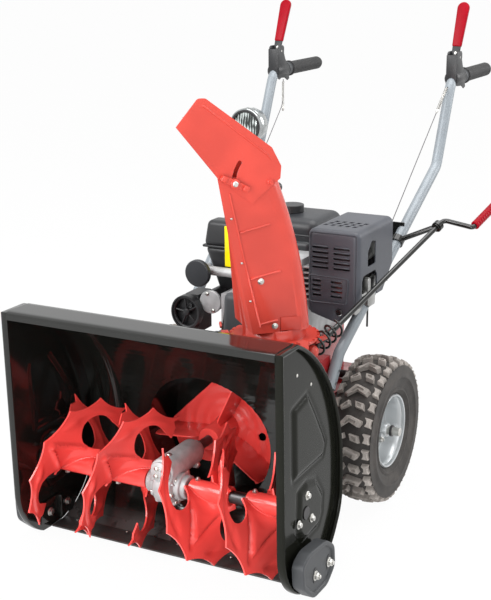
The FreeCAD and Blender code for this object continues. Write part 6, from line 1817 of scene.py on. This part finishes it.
def makeCrank():
    look = crankLook
    end, eye = Vector(look["end"]), Vector(look["eye"])
    way = (eye - end).normalized()
    side = (Vector((1, 0, 0)) - way * way.x).normalized()
    foot, top = end - way * look["reach"], eye + way * look["over"]
    corner = top + side * look["arm"]
    line = rounded([foot, end, top, corner, corner + way * 16], 13, 8)
    rod = tube(line, look["radius"], 20)
    for along in (-9, 6.5):  # washers each side of the eye
        absorb(rod, lathe([(0, 0), (10, 0), (10, 2), (0, 2)], eye + way * along, way, 28))
    piece("crankRod", rod, "blackPaint", ["crank_rod"], body="crank", sharp=50)
    wound("crankSpiral", foot + way * 2, way, 4, 17.5, 84, 2.6, "blackPaint", "crank", "black_paint", 28)
    socket = lathe([(0, -17), (6, -16.4), (12, -12.5), (14.5, -6), (14.5, 0), (11.5, 7), (8, 10), (0, 10)], foot, way,
                   40)
    piece("crankSocket", socket, "redPaint", body="crank", sharp=50)
    start = corner + way * 8
    profile = [(0, 0), (8.4, 0), (10, 1.6), (10, 5), (9, 7)]
    for k in range(9):
        low = 9 + 8.4 * k
        profile += [(9.4, low), (9.9, low + 2), (9.9, low + 4.4), (9.4, low + 6.4)]
    profile += [(10, 86), (10, 89), (8.4, look["grip"] - 0.6), (0, look["grip"] - 0.6)]
    grip = lathe(profile, start, way, 36)
    piece("crankGrip", grip, "redPlastic", ["crank_grip"], body="crank_handle", sharp=50)
    end = lathe([(0, 0), (6.6, 0), (7, 1), (6, 3.2), (0, 4)], start + way * look["grip"], way, 28)
    piece("crankPin", end, "zincSteel", body="crank")


for side, sign in (("left", -1), ("right", 1)):
    makeLever(side, sign)
    makeBracket(side, sign)
    makeGrip(side, sign)
makeCables()
makeLamp()
makeCrank()
print("controls ready")


beltCoverLook = {"dome": ((-40, 404, 98, 492), (-36, 408, 94, 490), (352, 482)), "soft": 15,
                 "flange": ((-46, 402.5, 350.5), (99, 492, 356)), "foot": ((-100, 440, 350.5), (-46, 491, 366)),
                 "lead": [(-66, 470, 366), (-66, 458, 392), (-60, 440, 404), (-52, 430, 396)], "leadRadius": 3.2}


def makeBeltCover():  # a deep moulded cover between the fan housing and the engine, with a flange at its foot
    look = beltCoverLook
    shape = tapered(*look["dome"], look["soft"], 6)
    absorb(shape, block(*look["flange"], 2, 2))
    absorb(shape, block(*look["foot"], 5, 3))
    piece("beltCover", shape, "greyPlastic", ["belt_cover"], sharp=42)
    piece("plugLead", tube(rounded(look["lead"], 14, 6), look["leadRadius"], 12), "redPaint")


frameLook = {"half": 116, "rear": 486, "low": 254, "wide": 185, "deep": 720, "high": 350}


def makeFrame():  # the frame keeps its drawn shape but its shoulders step down behind the handle's feet
    shape = cadShape("frame_box")
    half, rear, low, wide, deep, high = frameLook.values()
    across, back, up = (Vector(way) for way in ((1, 0, 0), (0, 1, 0), (0, 0, 1)))
    for way, level in ((across, half), (across, -half), (back, rear), (up, low)):
        sliced(shape, way, level)
    middles = [(face, face.calc_center_median()) for face in shape.faces]
    gone = [face for face, middle in middles if abs(middle.x) > half and middle.y > rear and middle.z > low]
    bmesh.ops.delete(shape, geom=gone, context="FACES")
    for sign in (-1, 1):
        inner, outer = sorted((sign * (half - 1), sign * wide))
        absorb(shape, block((inner, rear - 3, low - 3), (outer, deep, low), 0.8, 2))
        absorb(shape, block((inner, rear - 3, low - 3), (outer, rear, high), 0.8, 2))
        near, far = sorted((sign * (half - 3), sign * half))
        absorb(shape, block((near, rear - 3, low - 3), (far, deep, high), 0.8, 2))
    # the darker red is painted shade
    piece("frameBox", shape, "frameRedPaintedShade", ["frame_box"])


restLook = {  # what keeps its drawn shape: finish, body and how far its edges are rounded
    "fan_housing": ("blackPaint", "machine", 1.2),
    "handle_left": ("silverPaint", "machine", 0), "handle_right": ("silverPaint", "machine", 0),
    "cross_bar": ("blackPaint", "machine", 1.6), "crank_bracket": ("blackPaint", "machine", 1.0),
    "engine_block": ("castAlloy", "machine", 1.5), "recoil_cover": ("blackPlastic", "machine", 1.5),
    "axle": ("zincSteel", "wheels", 0.6), "auger_shaft": ("darkSteel", "auger", 0.8),
    "shear_bolts": ("zincSteel", "auger", 0.6), "impeller_shaft": ("darkSteel", "impeller_body", 0.6),
    "recoil_handle": ("blackPlastic", "pull_handle", 1.6),
    "shift_lever": ("blackPaint", "gear_lever", 1.2),
    "oil_cap": ("engineCover", "oil_filler_cap", 1.6), "fuel_cap": ("blackPlastic", "filler_cap", 1.6),
    "drive_belts": ("beltRubber", "machine", 0.5), "impeller_pulley": ("castAlloy", "impeller_body", 0.6),
    "engine_pulley": ("castAlloy", "crankshaft", 0.6), "friction_disc": ("castAlloy", "disc", 0.6),
    "friction_wheel": ("beltRubber", "hex", 0.6),
}


def roundTheRest():
    for node, (finish, body, soft) in restLook.items():
        name = "".join(part.title() if k else part for k, part in enumerate(node.split("_"))) + "Soft"
        piece(name, cadShape(node, soft > 0), finish, [node], body=body, slot=nodeSlot[node], soft=soft)


def makeBaseRing():  # the turning ring's seat, without the arm that the crank's own socket stands in for
    shape = cadShape("chute_base_ring")
    across, back = chuteLook["centre"]
    gone = [face for face in shape.faces if hypot(face.calc_center_median().x - across,
            face.calc_center_median().y - back) > 99]
    bmesh.ops.delete(shape, geom=gone, context="FACES")
    bmesh.ops.holes_fill(shape, edges=[edge for edge in shape.edges if len(edge.link_faces) == 1], sides=0)
    piece("chuteSeatRing", shape, "redPaint", ["chute_base_ring"], soft=0.8)


makeBeltCover()
makeFrame()
makeBaseRing()
roundTheRest()
print("remaining pieces ready")


cameraLook = {"place": (1223.42, -1863.69, 1204.06), "turn": 27.9009, "down": 15.8807, "roll": -0.44354,
              "lens": 75.03}


def placeCamera():
    look = cameraLook
    camera = bpy.data.objects.new("camera", bpy.data.cameras.new("camera"))
    scene.collection.objects.link(camera)
    camera.data.lens = look["lens"]
    turns = [Matrix.Rotation(radians(angle), 4, axis) for angle, axis in
             ((look["turn"], "Z"), (90 - look["down"], "X"), (look["roll"], "Z"))]
    camera.matrix_world = Matrix.Translation(at(*look["place"])) @ turns[0] @ turns[1] @ turns[2]
    scene.camera = camera


lampLooks = (  # where each soft lamp hangs, its size in metres, its power in watts
    {"name": "keyLamp", "place": (-1700, -2600, 2900), "size": 2.4, "power": 125},
    {"name": "frontLamp", "place": (500, -3400, 900), "size": 2.2, "power": 82},
    {"name": "fillLamp", "place": (3000, -1500, 1900), "size": 2.6, "power": 22},
    {"name": "topLamp", "place": (300, 900, 3300), "size": 3.0, "power": 88},
    {"name": "backLamp", "place": (2600, 2900, 1900), "size": 2.0, "power": 45},
)


def lightStudio():
    middle = (cadBounds[0] + cadBounds[1]) / 2
    for look in lampLooks:
        lamp = bpy.data.objects.new(look["name"], bpy.data.lights.new(look["name"], "AREA"))
        scene.collection.objects.link(lamp)
        lamp.data.shape = "DISK"
        lamp.data.size = look["size"]
        lamp.data.energy = look["power"]
        place = at(*look["place"])
        lamp.matrix_world = Matrix.Translation(place) @ (middle - place).to_track_quat("-Z", "Y").to_matrix().to_4x4()
    world = bpy.data.worlds.new("studio")
    scene.world = world
    world.use_nodes = True
    world.node_tree.nodes.clear()
    graph = Graph(world.node_tree)
    rays = graph.node("ShaderNodeLightPath", output="Is Camera Ray")
    seen = rays.sum("MAXIMUM", rays, rays.other("Is Transmission Ray"))
    strength = rays.sum("MAXIMUM", seen, rays.other("Is Glossy Ray")) * 0.45 + 0.55
    light = graph.node("ShaderNodeBackground", None, {"Color": rgb(1, 1, 1), "Strength": strength})
    graph.node("ShaderNodeOutputWorld", None, {"Surface": light})


def layFloor():
    floor = bpy.data.objects.new("floor", bpy.data.meshes.new("floor"))
    scene.collection.objects.link(floor)
    half = 30
    floor.data.from_pydata([(-half, -half, 0), (half, -half, 0), (half, half, 0), (-half, half, 0)], [], [(0, 1, 2, 3)])
    floor.location.z = cadBounds[0].z - 0.0005
    finish, graph, where = newFinish("paleFloor")
    mottle = graph.noise(where, 3, 3)
    matt = graph.node("ShaderNodeBsdfDiffuse", None, {"Color": graph.blend(mottle, rgb(0.86, 0.86, 0.86),
            rgb(0.9, 0.9, 0.9))})
    white = graph.node("ShaderNodeEmission", None, {"Color": rgb(1, 1, 1), "Strength": 1.0})
    rays = graph.node("ShaderNodeLightPath", output="Is Camera Ray")
    seen = rays.sum("MAXIMUM", rays, rays.other("Is Transmission Ray"))
    seen = rays.sum("MAXIMUM", seen, rays.other("Is Glossy Ray"))
    mixed = graph.node("ShaderNodeMixShader", None, {0: seen * 0.965, 1: matt, 2: white})
    graph.node("ShaderNodeOutputMaterial", None, {"Surface": mixed})
    floor.data.materials.append(finish)


scene.view_settings.view_transform = "Standard"
placeCamera()
lightStudio()
layFloor()
print("studio ready")
